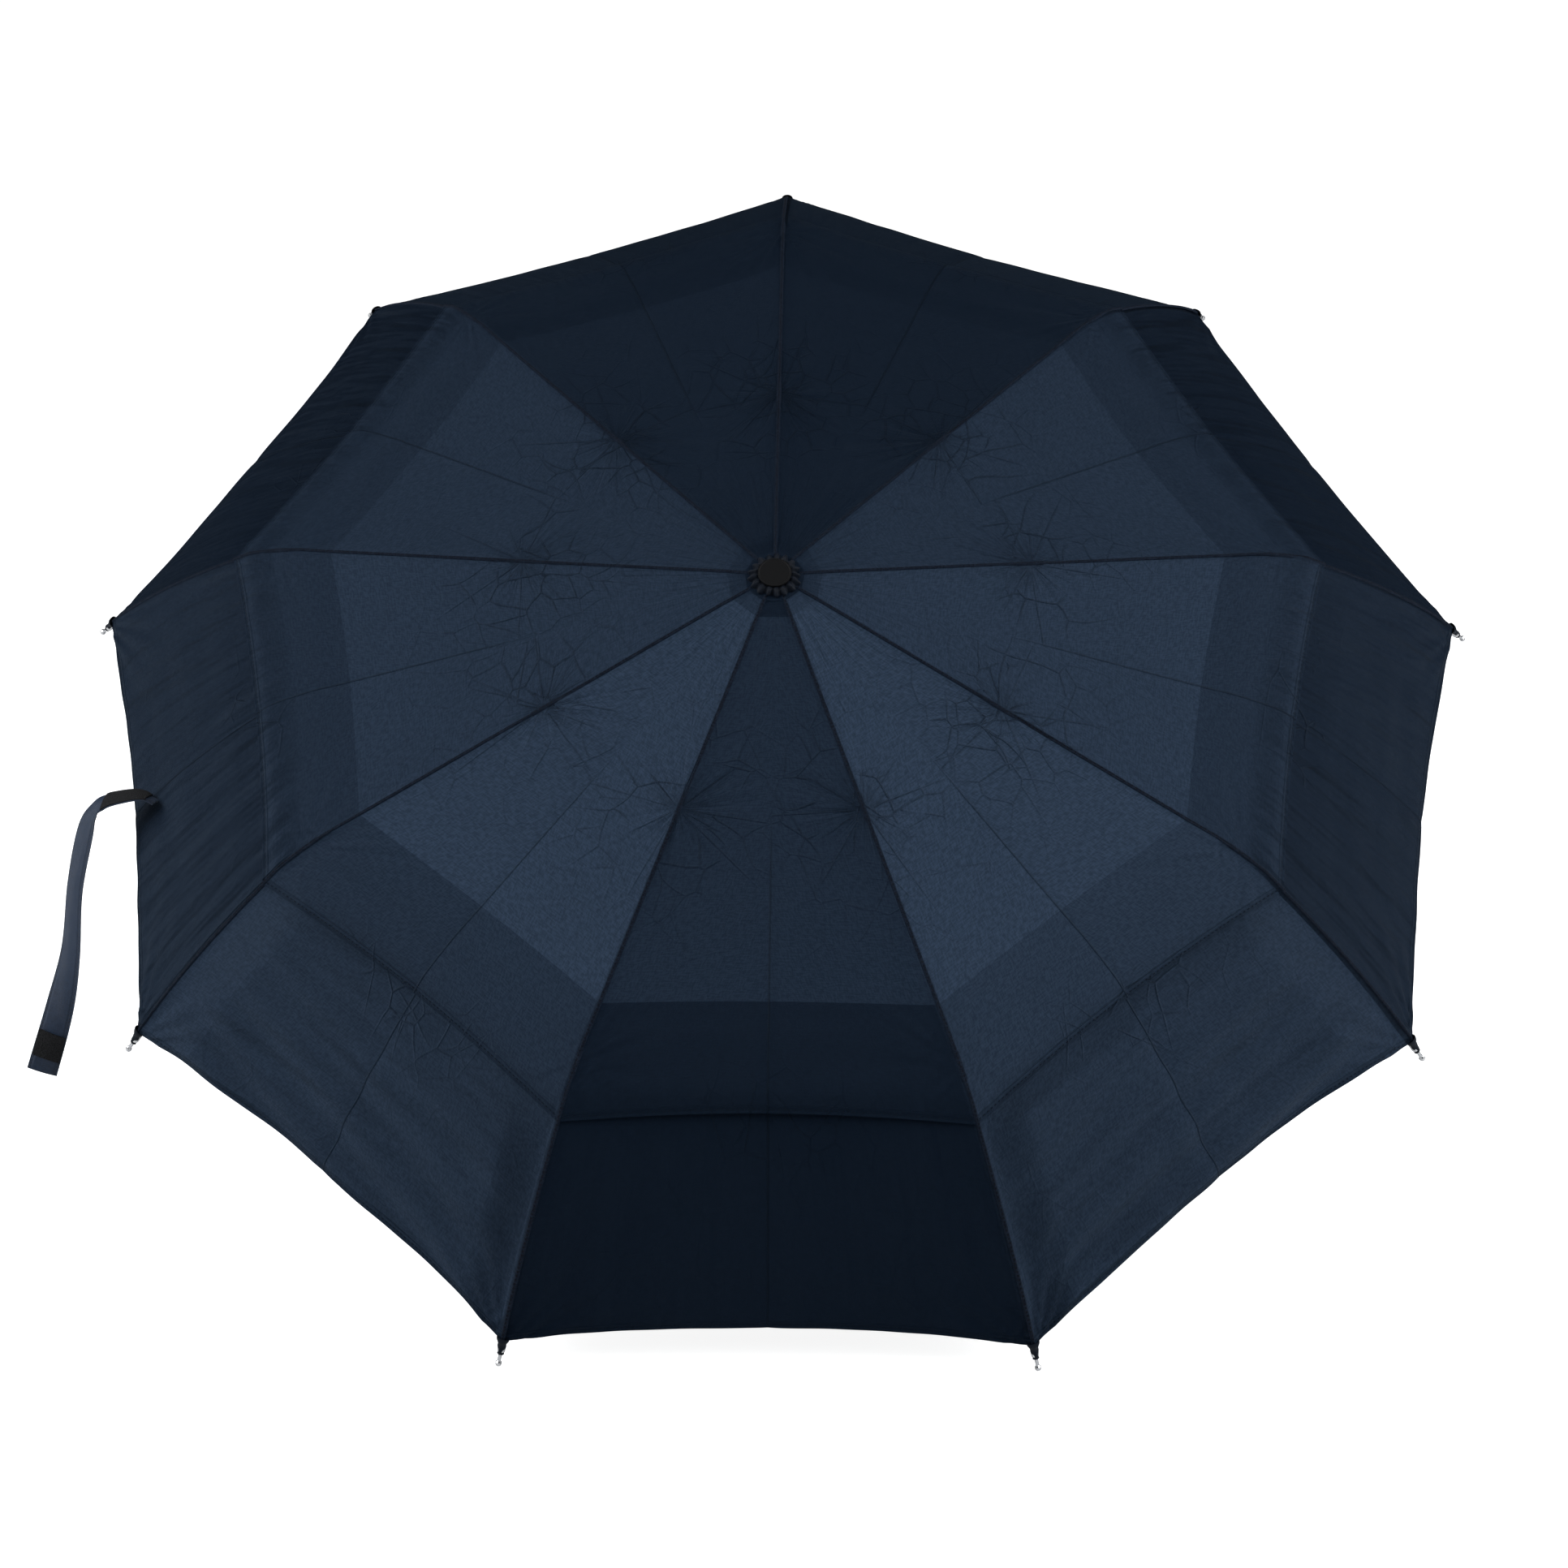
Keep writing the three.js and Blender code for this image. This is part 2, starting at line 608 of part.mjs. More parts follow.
// A closed shell all round the shaft, from rows of points at these distances down the ribs.
function clothShell(stations, hemCurve, top) {
  const columns = ribCount * cloth.columnsPerGore;
  const rows = stations.length - 1;
  const positions = [];
  const index = [];
  for (const depth of [top, top + cloth.thickness]) {
    for (const along of stations) {
      const share = (along - stations[0]) / (stations.at(-1) - stations[0]);
      for (let column = 0; column < columns; column += 1) {
        const gore = Math.floor(column / cloth.columnsPerGore);
        const side = (2 * (column % cloth.columnsPerGore)) / cloth.columnsPerGore - 1;
        const goreAngle = (gore + 0.5) * ribStep;
        const point = clothPoint(goreAngle, along, side, hemCurve * share ** 3, depth);
        positions.push(point.x, point.y, point.z);
      }
    }
  }
  const inner = (rows + 1) * columns;
  const quad = (a, b, c, d) => index.push(a, b, c, a, c, d);
  for (let column = 0; column < columns; column += 1) {
    const next = (column + 1) % columns;
    for (let row = 0; row < rows; row += 1) {
      const near = row * columns;
      const far = near + columns;
      quad(near + column, near + next, far + next, far + column);
      quad(inner + near + column, inner + far + column, inner + far + next, inner + near + next);
    }
    const hem = rows * columns;
    quad(column, inner + column, inner + next, next);
    quad(hem + column, hem + next, inner + hem + next, inner + hem + column);
  }
  const geometry = new THREE.BufferGeometry();
  geometry.setAttribute("position", new THREE.Float32BufferAttribute(positions, 3));
  geometry.setIndex(index);
  return solidOf(geometry).volume() < 0 ? flipped(geometry) : geometry;
}

function flipped(geometry) {
  const order = geometry.index.array;
  for (let i = 0; i < order.length; i += 3) {
    [order[i + 1], order[i + 2]] = [order[i + 2], order[i + 1]];
  }
  return geometry;
}

function makeCanopies() {
  const canopies = new THREE.Group();
  const upperHem = upperCanopy.hemAt;
  const lowerHem = upperCanopy.holeRadius + clothLength - lowerCanopy.cornerBack;
  const lowerTop = cloth.thickness + cloth.layerGap;
  const ventAt = clothRows(lowerCanopy.edgeAt, upperHem, ventRows);
  const upperAt = clothRows(upperCanopy.flatTo, lowerCanopy.edgeAt, upperCanopy.rows);
  const lowerAt = clothRows(upperHem, lowerHem, lowerCanopy.rows);
  const upperRows = [upperCanopy.holeRadius, ...upperAt, ...ventAt, upperHem];
  const lowerRows = [...ventAt, ...lowerAt, lowerHem];
  const upper = clothShell(upperRows, upperCanopy.hemCurve, 0);
  const lower = clothShell(lowerRows, lowerCanopy.hemCurve, lowerTop);
  canopies.add(
    named("upper_canopy", upper, finishes.canopyCloth),
    named("lower_canopy", lower, finishes.canopyCloth),
  );
  return canopies;
}

// ---- Laying the umbrella down ----
// The shaft leans so that the two lowest rib tips and the rounded edge of the handle's end touch one floor.

function restingLean() {
  const across = tipBall.x * Math.cos((ribStep / 2) * degrees) - handle.footRadius + endCap.fillet;
  const along = tipBall.y - handleBottom - endCap.fillet;
  const lift = (ribTip.ballRadius - endCap.fillet) / Math.hypot(across, along);
  return Math.atan2(across, along) + Math.asin(lift);
}

const shaftLean = restingLean();

const umbrella = new THREE.Group();
umbrella.rotation.x = Math.PI / 2 - shaftLean;
umbrella.add(makeShaft(), makeCrown(), makeTopCap(), makeRunner(), makeClosingSpring());
umbrella.add(makeHandle(), makePushButton(), makeHandleEndCap());
for (let number = 1; number <= ribCount; number += 1) {
  umbrella.add(makeRib(number));
}
umbrella.add(makeCanopies());
umbrella.updateMatrixWorld(true);

// ---- Closing strap ----
// Sewn to the outside of one gore near its hem. Its sewn end stands out over the hem, and the rest hangs
// down from the bend and turns from edge on until it faces the front.

// A flat ribbon along rows of { centre, along, turn, width }, where turn is the angle of its width from
// the front towards +X.
function ribbon(rows, thickness, offset = 0) {
  const positions = [];
  for (const { centre, along, turn, width } of rows) {
    const across = new THREE.Vector3(Math.sin(turn * degrees), -Math.cos(turn * degrees), 0);
    across.addScaledVector(along, -across.dot(along)).normalize();
    const face = new THREE.Vector3().crossVectors(along, across);
    for (const [side, level] of [[-1, -1], [1, -1], [1, 1], [-1, 1]]) {
      const point = centre.clone().addScaledVector(across, (side * width) / 2);
      point.addScaledVector(face, offset + (level * thickness) / 2);
      positions.push(point.x, point.y, point.z);
    }
  }
  const index = [0, 2, 1, 0, 3, 2];
  for (let row = 0; row < rows.length - 1; row += 1) {
    for (let corner = 0; corner < 4; corner += 1) {
      const here = 4 * row + corner;
      const next = 4 * row + ((corner + 1) % 4);
      index.push(here, next, next + 4, here, next + 4, here + 4);
    }
  }
  const end = 4 * (rows.length - 1);
  index.push(end, end + 1, end + 2, end, end + 2, end + 3);
  const geometry = new THREE.BufferGeometry();
  geometry.setAttribute("position", new THREE.Float32BufferAttribute(positions, 3));
  geometry.setIndex(index);
  return solidOf(geometry).volume() < 0 ? flipped(geometry) : geometry;
}

// Rows for a ribbon at shares of the length of a path of [out, up, turn] points.
function ribbonRows(path, shares, widthAt) {
  const curve = new THREE.CatmullRomCurve3(path.map(([out, up]) => new THREE.Vector3(-out, 0, up)));
  const turns = new THREE.CatmullRomCurve3(path.map(([, , turn]) => new THREE.Vector3(turn, 0, 0)));
  return shares.map((share) => ({
    centre: curve.getPointAt(share),
    along: curve.getTangentAt(share),
    turn: turns.getPoint(curve.getUtoTmapping(share)).x,
    width: widthAt(share),
  }));
}

function evenShares(from, to, count) {
  return Array.from({ length: count }, (_, i) => from + ((to - from) * i) / (count - 1));
}

function makeStrap() {
  const hem = upperCanopy.holeRadius + clothLength - lowerCanopy.cornerBack - lowerCanopy.hemCurve;
  const { goreAngle, fromHem, side, standOff } = strapRoot;
  const sewn = clothPoint(goreAngle, hem - fromHem, side, 0, -standOff).applyMatrix4(umbrella.matrixWorld);
  const bend = sewn.clone().add(new THREE.Vector3(-strap.reach, strap.back, -strap.bendDrop));

  const arch = strapArch.map(([out, up]) => [out * strap.reach, up * strap.reach, strapFall[0][2] * out]);
  const archWidth = (share) => strap.width * (share > 0 ? 1 : strap.gathered);
  const archRows = ribbonRows(arch, [0, 0.2, 0.4, 0.6, 0.8, 1], archWidth);
  archRows.forEach(({ centre }) => centre.add(new THREE.Vector3(0, (-centre.x / strap.reach) * strap.back, 0)));

  const fall = strapFall.map(([out, down, turn]) => [out * strap.lean, -down * strap.hang, turn]);
  const fallLength = Math.hypot(strap.hang, strap.lean);
  const padEnd = 1 - strap.tab / fallLength;
  const padShares = evenShares(padEnd - strap.padLength / fallLength, padEnd, 4);
  const ribbonShares = [...evenShares(0, 0.8, 10), ...padShares, 1];
  const hanging = ribbonRows(fall, ribbonShares, () => strap.width);
  const pad = ribbonRows(fall, padShares, () => strap.width - 1);

  const hookPatch = named("strap_hook_patch", ribbon(archRows, 2 * strap.thickness), finishes.hookAndLoop);
  const loose = named("closing_strap", ribbon(hanging, strap.thickness), finishes.strapCloth);
  const loopPatch = named("strap_loop_patch", ribbon(pad, strap.thickness, strap.thickness + 2 * gap), finishes.hookAndLoop);
  hookPatch.position.copy(sewn);
  loose.position.copy(bend);
  loopPatch.position.copy(bend);

  const pieces = new THREE.Group();
  pieces.add(hookPatch, loose, loopPatch);
  return pieces;
}

const model = new THREE.Group();
model.add(umbrella, makeStrap());
model.updateMatrixWorld(true);
const bounds = new THREE.Box3().setFromObject(model, true);
const middle = bounds.getCenter(new THREE.Vector3());
model.position.set(-middle.x, -middle.y, -bounds.min.z);

export default model;
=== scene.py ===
import json
from math import cos, pi, radians, sin

import bpy
import numpy as np
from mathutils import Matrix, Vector


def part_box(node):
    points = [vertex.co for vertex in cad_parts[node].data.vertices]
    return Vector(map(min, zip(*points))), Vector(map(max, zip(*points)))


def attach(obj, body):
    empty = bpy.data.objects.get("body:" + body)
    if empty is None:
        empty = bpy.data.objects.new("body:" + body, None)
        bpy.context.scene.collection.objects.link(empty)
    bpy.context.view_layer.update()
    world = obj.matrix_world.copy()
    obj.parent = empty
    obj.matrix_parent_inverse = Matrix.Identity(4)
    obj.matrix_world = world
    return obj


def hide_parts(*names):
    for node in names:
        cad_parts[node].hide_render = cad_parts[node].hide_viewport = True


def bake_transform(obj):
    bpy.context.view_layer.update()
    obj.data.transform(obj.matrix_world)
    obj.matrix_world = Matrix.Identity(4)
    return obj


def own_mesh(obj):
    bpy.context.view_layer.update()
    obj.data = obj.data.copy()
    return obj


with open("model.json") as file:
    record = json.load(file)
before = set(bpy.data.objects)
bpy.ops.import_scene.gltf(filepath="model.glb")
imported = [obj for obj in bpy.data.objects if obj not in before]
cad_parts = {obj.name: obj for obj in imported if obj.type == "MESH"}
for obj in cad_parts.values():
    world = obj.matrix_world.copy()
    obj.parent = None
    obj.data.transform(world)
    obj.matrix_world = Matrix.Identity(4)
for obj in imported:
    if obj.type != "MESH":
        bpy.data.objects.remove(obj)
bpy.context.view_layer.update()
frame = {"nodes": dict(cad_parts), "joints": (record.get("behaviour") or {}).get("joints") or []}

# Where the umbrella is: its shaft, its rib hinges and its knees, all from the frame
joints = {joint["name"]: joint for joint in frame["joints"]}
ribCount = 9
ribNumbers = range(1, ribCount + 1)
halfGore = pi / ribCount


def jointPlace(name):
    return Vector(joints[name]["pos_m"])


shaftUp = -Vector(joints["runner_slide"]["axis"]).normalized()
crownHinges = [jointPlace(f"inner_rib_hinge_{n}") for n in ribNumbers]
crownMiddle = sum(crownHinges, Vector()) / ribCount
ribOut = [(hinge - crownMiddle).normalized() for hinge in crownHinges]
ribAcross = [out.cross(shaftUp).normalized() for out in ribOut]  # clockwise, seen from above the cap


def onShaft(point):  # distance from the shaft, and height above the crown's hinges
    offset = point - crownMiddle
    height = offset.dot(shaftUp)
    return np.array(((offset - height * shaftUp).length, height))


def drooped(along, rise, droop):  # along a rib section that droops, and above it
    c, s = cos(radians(droop)), sin(radians(droop))
    return np.array((along * c + rise * s, rise * c - along * s))


stage = {
    "cameraPlace": (0.0589, -2.1162, 0.9880),
    "cameraAim": (-0.016667, 0.945320, -0.325711),
    "lens": 72.95,
    "floorSize": 60,
    "floorColour": (0.62, 0.63, 0.64, 1),
    "floorGlow": 0.9,  # what the camera sees on top of the lit floor
    "skyColour": (0.90, 0.95, 1.0, 1),
    "skyStrength": 0.05,
    "overheadPower": 0.6,
    "banks": {"leftBank": (-2.2, -0.6, 1.6), "rightBank": (2.2, -0.6, 1.6)},
    "bankAim": (0, 0, 0.35),
    "bankSize": (2.4, 1.3),
    "bankPower": 80,
}


def makeCamera():
    data = bpy.data.cameras.new("camera")
    data.lens = stage["lens"]
    data.sensor_width = 36
    data.clip_end = 100
    camera = bpy.data.objects.new("camera", data)
    bpy.context.scene.collection.objects.link(camera)
    camera.location = stage["cameraPlace"]
    camera.rotation_euler = Vector(stage["cameraAim"]).to_track_quat("-Z", "Y").to_euler()
    bpy.context.scene.camera = camera


def makeBank(name, place):
    data = bpy.data.lights.new(name, "AREA")
    data.shape = "RECTANGLE"
    data.size, data.size_y = stage["bankSize"]
    data.energy = stage["bankPower"]
    light = bpy.data.objects.new(name, data)
    bpy.context.scene.collection.objects.link(light)
    light.location = place
    light.rotation_euler = (Vector(stage["bankAim"]) - Vector(place)).to_track_quat("-Z", "Y").to_euler()


def makeOverhead():
    data = bpy.data.lights.new("overhead", "SUN")
    data.energy = stage["overheadPower"]
    data.angle = radians(70)
    light = bpy.data.objects.new("overhead", data)
    bpy.context.scene.collection.objects.link(light)
    light.location = (0, 0, 3)


def makeFloor():
    bpy.ops.mesh.primitive_plane_add(size=stage["floorSize"], location=(0, 0, -0.0005))
    floor = bpy.context.object
    floor.name = "floor"
    material = bpy.data.materials.new("paleFloor")
    material.use_nodes = True
    tree = material.node_tree
    shader = tree.nodes["Principled BSDF"]
    shader.inputs["Base Color"].default_value = stage["floorColour"]
    shader.inputs["Roughness"].default_value = 0.9
    shader.inputs["Emission Color"].default_value = (1, 1, 1, 1)
    path = tree.nodes.new("ShaderNodeLightPath")
    glow = tree.nodes.new("ShaderNodeMath")
    glow.operation = "MULTIPLY"
    glow.inputs[1].default_value = stage["floorGlow"]
    tree.links.new(path.outputs["Is Camera Ray"], glow.inputs[0])
    tree.links.new(glow.outputs[0], shader.inputs["Emission Strength"])
    floor.data.materials.append(material)


def makeSky():
    world = bpy.data.worlds.new("studio")
    bpy.context.scene.world = world
    world.use_nodes = True
    tree = world.node_tree
    sky = tree.nodes["Background"]
    sky.inputs["Color"].default_value = stage["skyColour"]
    sky.inputs["Strength"].default_value = stage["skyStrength"]
    seen = tree.nodes.new("ShaderNodeBackground")
    seen.inputs["Color"].default_value = (1, 1, 1, 1)
    path = tree.nodes.new("ShaderNodeLightPath")
    mix = tree.nodes.new("ShaderNodeMixShader")
    tree.links.new(path.outputs["Is Camera Ray"], mix.inputs["Fac"])
    tree.links.new(sky.outputs["Background"], mix.inputs[1])
    tree.links.new(seen.outputs["Background"], mix.inputs[2])
    tree.links.new(mix.outputs["Shader"], tree.nodes["World Output"].inputs["Surface"])


makeCamera()
makeFloor()
makeSky()
makeOverhead()
for name, place in stage["banks"].items():
    makeBank(name, place)
bpy.context.scene.view_settings.view_transform = "Standard"
print("stage")


class Graph:  # short hand for wiring one node tree
    def __init__(self, tree):
        self.tree = tree

    def add(self, kind, **settings):
        node = self.tree.nodes.new(kind)
        for key, value in settings.items():
            setattr(node, key, value)
        return node

    def link(self, output, target):
        self.tree.links.new(output, target)

    def feed(self, target, value):
        if isinstance(value, bpy.types.NodeSocket):
            self.link(value, target)
        elif value is not None:
            target.default_value = value

    def math(self, operation, a, b=None, c=None, clamp=False):
        node = self.add("ShaderNodeMath", operation=operation, use_clamp=clamp)
        for socket, value in zip(node.inputs, (a, b, c)):
            self.feed(socket, value)
        return node.outputs[0]

    def times(self, a, b):
        return self.math("MULTIPLY", a, b)

    def oneMinus(self, a):
        return self.math("SUBTRACT", 1.0, a)

    def vector(self, operation, a, b=None):
        node = self.add("ShaderNodeVectorMath", operation=operation)
        self.feed(node.inputs[0], a)
        self.feed(node.inputs["Scale"] if operation == "SCALE" else node.inputs[1], b)
        return node.outputs["Vector"]

    def split(self, vector):
        node = self.add("ShaderNodeSeparateXYZ")
        self.link(vector, node.inputs[0])
        return node.outputs

    def combine(self, x, y, z=0.0):
        node = self.add("ShaderNodeCombineXYZ")
        for socket, value in zip(node.inputs, (x, y, z)):
            self.feed(socket, value)
        return node.outputs[0]

    def noise(self, vector, scale, detail=2.0, roughness=0.5):
        node = self.add("ShaderNodeTexNoise")
        self.feed(node.inputs["Vector"], vector)
        self.feed(node.inputs["Scale"], scale)
        self.feed(node.inputs["Detail"], detail)
        self.feed(node.inputs["Roughness"], roughness)
        return node.outputs["Fac"]

    def ramp(self, value, low, high):  # 0 below low, 1 above high
        node = self.add("ShaderNodeMapRange", interpolation_type="SMOOTHSTEP")
        self.feed(node.inputs["Value"], value)
        self.feed(node.inputs["From Min"], low)
        self.feed(node.inputs["From Max"], high)
        return node.outputs["Result"]

    def mix(self, share, a, b):
        node = self.add("ShaderNodeMix", data_type="RGBA")
        self.feed(node.inputs["Factor"], share)
        self.feed(node.inputs[6], a)
        self.feed(node.inputs[7], b)
        return node.outputs[2]

    def attribute(self, name):
        return self.add("ShaderNodeAttribute", attribute_name=name).outputs["Fac"]

    def uv(self, name):
        return self.add("ShaderNodeUVMap", uv_map=name).outputs["UV"]

    def bump(self, height, distance, strength=1.0, normal=None):
        node = self.add("ShaderNodeBump")
        self.feed(node.inputs["Strength"], strength)
        self.feed(node.inputs["Distance"], distance)
        self.feed(node.inputs["Height"], height)
        self.feed(node.inputs["Normal"], normal)
        return node.outputs["Normal"]


def makeGroup(name, inputs, outputs, build):
    group = bpy.data.node_groups.new(name, "ShaderNodeTree")
    for label, kind, value in inputs:
        socket = group.interface.new_socket(label, in_out="INPUT", socket_type=kind)
        if value is not None:
            socket.default_value = value
    for label, kind in outputs:
        group.interface.new_socket(label, in_out="OUTPUT", socket_type=kind)
    graph = Graph(group)
    given = graph.add("NodeGroupInput").outputs
    results = graph.add("NodeGroupOutput").inputs
    for label, value in build(graph, given).items():
        graph.feed(results[label], value)
    return group


def useGroup(graph, group, **values):
    node = graph.add("ShaderNodeGroup")
    node.node_tree = group
    for label, value in values.items():
        graph.feed(node.inputs[label], value)
    return node.outputs


floatSocket = "NodeSocketFloat"


def number(label, amount):
    return (label, floatSocket, amount)


def buildWeave(graph, given):
    x, y, _ = graph.split(given["Vector"])
    turns = graph.math("DIVIDE", 2 * pi, given["Thread"])
    warp = graph.math("SINE", graph.times(x, turns))
    weft = graph.math("SINE", graph.times(y, turns))
    over = graph.times(warp, weft)
    slub = graph.noise(graph.combine(graph.times(x, 0.25), y), 900, 2)
    cross = graph.noise(graph.combine(x, graph.times(y, 0.25)), 900, 2)
    grain = graph.math("ADD", slub, cross)
    height = graph.math("ADD", graph.times(over, 0.5), grain)
    return {"Height": height, "Grain": graph.ramp(grain, 0.75, 1.25)}


def buildCreases(graph, given):
    wander = graph.add("ShaderNodeTexNoise")
    graph.link(given["Vector"], wander.inputs["Vector"])
    graph.feed(wander.inputs["Scale"], 9.0)
    bent = graph.vector("ADD", given["Vector"], graph.vector("SCALE", wander.outputs["Color"], 0.05))
    lines = None
    for size, seed in ((1.0, 3.1), (0.53, 7.7)):
        cells = graph.add("ShaderNodeTexVoronoi", feature="DISTANCE_TO_EDGE", voronoi_dimensions="2D")
        graph.link(graph.vector("ADD", bent, (seed, seed, 0)), cells.inputs["Vector"])
        perMetre = graph.math("DIVIDE", 1.0, graph.times(given["Cell"], size))
        graph.link(perMetre, cells.inputs["Scale"])
        metres = graph.math("DIVIDE", cells.outputs["Distance"], perMetre)
        line = graph.oneMinus(graph.ramp(metres, 0.0, given["Width"]))
        broken = graph.ramp(graph.noise(graph.vector("ADD", bent, (seed, 0, 0)), 22, 1), 0.44, 0.6)
        line = graph.times(line, broken)
        lines = line if lines is None else graph.math("MAXIMUM", lines, line)
    return {"Line": graph.times(lines, given["Mask"])}


def buildFan(graph, given):
    x, y, _ = graph.split(given["Vector"])
    far = graph.math("SQRT", graph.math("ADD", graph.times(x, x), graph.times(y, y)))
    angle = graph.math("ARCTAN2", y, x)
    spread = graph.combine(graph.times(angle, 2.4), graph.times(far, 6.0), given["Seed"])
    pleats = graph.noise(spread, 2.3, 3, 0.65)
    near = graph.oneMinus(graph.ramp(far, 0.006, given["Reach"]))
    near = graph.times(near, graph.ramp(far, 0.0, 0.006))
    return {"Pleats": graph.times(pleats, near), "Near": near}


# Sharp folds that run out from a knee: angle from across, how far they reach, how sharp they are
kneeRays = [
    (9, 0.11, 0.55), (38, 0.05, 0.4), (61, 0.09, 0.5), (-31, 0.045, 0.45),
    (168, 0.08, 0.5), (137, 0.045, 0.4), (118, 0.1, 0.55), (214, 0.05, 0.45),
]


def buildRays(graph, given):
    x, y, _ = graph.split(given["Vector"])
    lines = None
    for degrees, reach, strength in kneeRays:
        swing = graph.times(given["Turn"], 0.03 * (1 + degrees % 7))
        angle = graph.math("ADD", swing, radians(degrees))
        c, s = graph.math("COSINE", angle), graph.math("SINE", angle)
        along = graph.math("ADD", graph.times(x, c), graph.times(y, s))
        aside = graph.math("SUBTRACT", graph.times(x, s), graph.times(y, c))
        line = graph.oneMinus(graph.ramp(graph.math("ABSOLUTE", aside), 0.0, 0.0009))
        ends = graph.times(graph.ramp(along, 0.003, 0.009), graph.ramp(along, reach, reach * 0.55))
        line = graph.times(graph.times(line, ends), strength)
        lines = line if lines is None else graph.math("MAXIMUM", lines, line)
    return {"Line": lines}


def buildStitches(graph, given):
    away = graph.math("ABSOLUTE", graph.math("SUBTRACT", given["Distance"], given["Inset"]))
    row = graph.oneMinus(graph.ramp(away, 0.0002, 0.0006))
    turns = graph.math("DIVIDE", 2 * pi, given["Pitch"])
    beat = graph.math("SINE", graph.times(given["Along"], turns))
    thread = graph.times(row, graph.ramp(beat, -0.35, 0.1))
    pucker = graph.oneMinus(graph.ramp(away, 0.0003, 0.0022))
    return {"Thread": thread, "Pucker": pucker}


def buildWear(graph, given):
    edge = graph.add("ShaderNodeNewGeometry").outputs["Pointiness"]
    sharp = graph.ramp(edge, given["From"], given["To"])
    patchy = graph.noise(given["Vector"], 90, 4, 0.6)
    return {"Edge": graph.times(sharp, graph.ramp(patchy, 0.35, 0.65))}


vectorIn = ("Vector", "NodeSocketVector", None)
weaveGroup = makeGroup(
    "weave",
    [vectorIn, number("Thread", 0.0006)],
    [("Height", floatSocket), ("Grain", floatSocket)],
    buildWeave,
)
creaseGroup = makeGroup(
    "pressedCreases",
    [vectorIn, number("Mask", 1.0), number("Cell", 0.038), number("Width", 0.001)],
    [("Line", floatSocket)],
    buildCreases,
)
fanGroup = makeGroup(
    "kneePleats",
    [vectorIn, number("Reach", 0.07), number("Seed", 0.0)],
    [("Pleats", floatSocket), ("Near", floatSocket)],
    buildFan,
)
rayGroup = makeGroup("kneeFolds", [vectorIn, number("Turn", 0.0)], [("Line", floatSocket)], buildRays)
stitchGroup = makeGroup(
    "stitches",
    [number("Distance", 0.0), number("Inset", 0.004), number("Along", 0.0), number("Pitch", 0.0032)],
    [("Thread", floatSocket), ("Pucker", floatSocket)],
    buildStitches,
)
wearGroup = makeGroup(
    "edgeWear", [vectorIn, number("From", 0.52), number("To", 0.6)], [("Edge", floatSocket)], buildWear
)


def startMaterial(name, **settings):
    material = bpy.data.materials.new(name)
    material.use_nodes = True
    graph = Graph(material.node_tree)
    shader = material.node_tree.nodes["Principled BSDF"]
    for label, amount in settings.items():
        shader.inputs[label.replace("_", " ")].default_value = amount
    return material, graph, shader


canopyLook = {
    "bright": (0.0252, 0.0415, 0.0720, 1),  # where the tone is 1: the cloth in painted light
    "deep": (0.0009, 0.0034, 0.0095, 1),  # where the tone is 0: the cloth in painted shade
    # thread: darker thread colour for the grain and stitches, also used as painted shade along the creases
    "thread": (0.0012, 0.0028, 0.0070, 1),
    "weave": 0.42,
    # share of painted shade along the crease lines
    "lines": 0.4,
    "Roughness": 0.55,
    "Specular_IOR_Level": 0.12,
    "Specular_Tint": (0.42, 0.68, 1.0, 1),
    "Anisotropic": 0.9,
    "Sheen_Weight": 0.015,
    "Sheen_Roughness": 0.4,
    "Sheen_Tint": (0.5, 0.72, 1.0, 1),
    "weftTurn": 0.25,  # the sheen follows the threads that run across the gore
    "folds": [  # where, how many across a gore and down a metre, detail, roughness, depth, strength
        ("drawn", 7.0, 5.0, 3, 0.6, 0.006, 0.7),
        ("streaked", 16.0, 7.0, 2, 0.5, 0.016, 1.0),
        ("rippled", 1.3, 24.0, 2, 0.45, 0.034, 1.0),
    ],
}


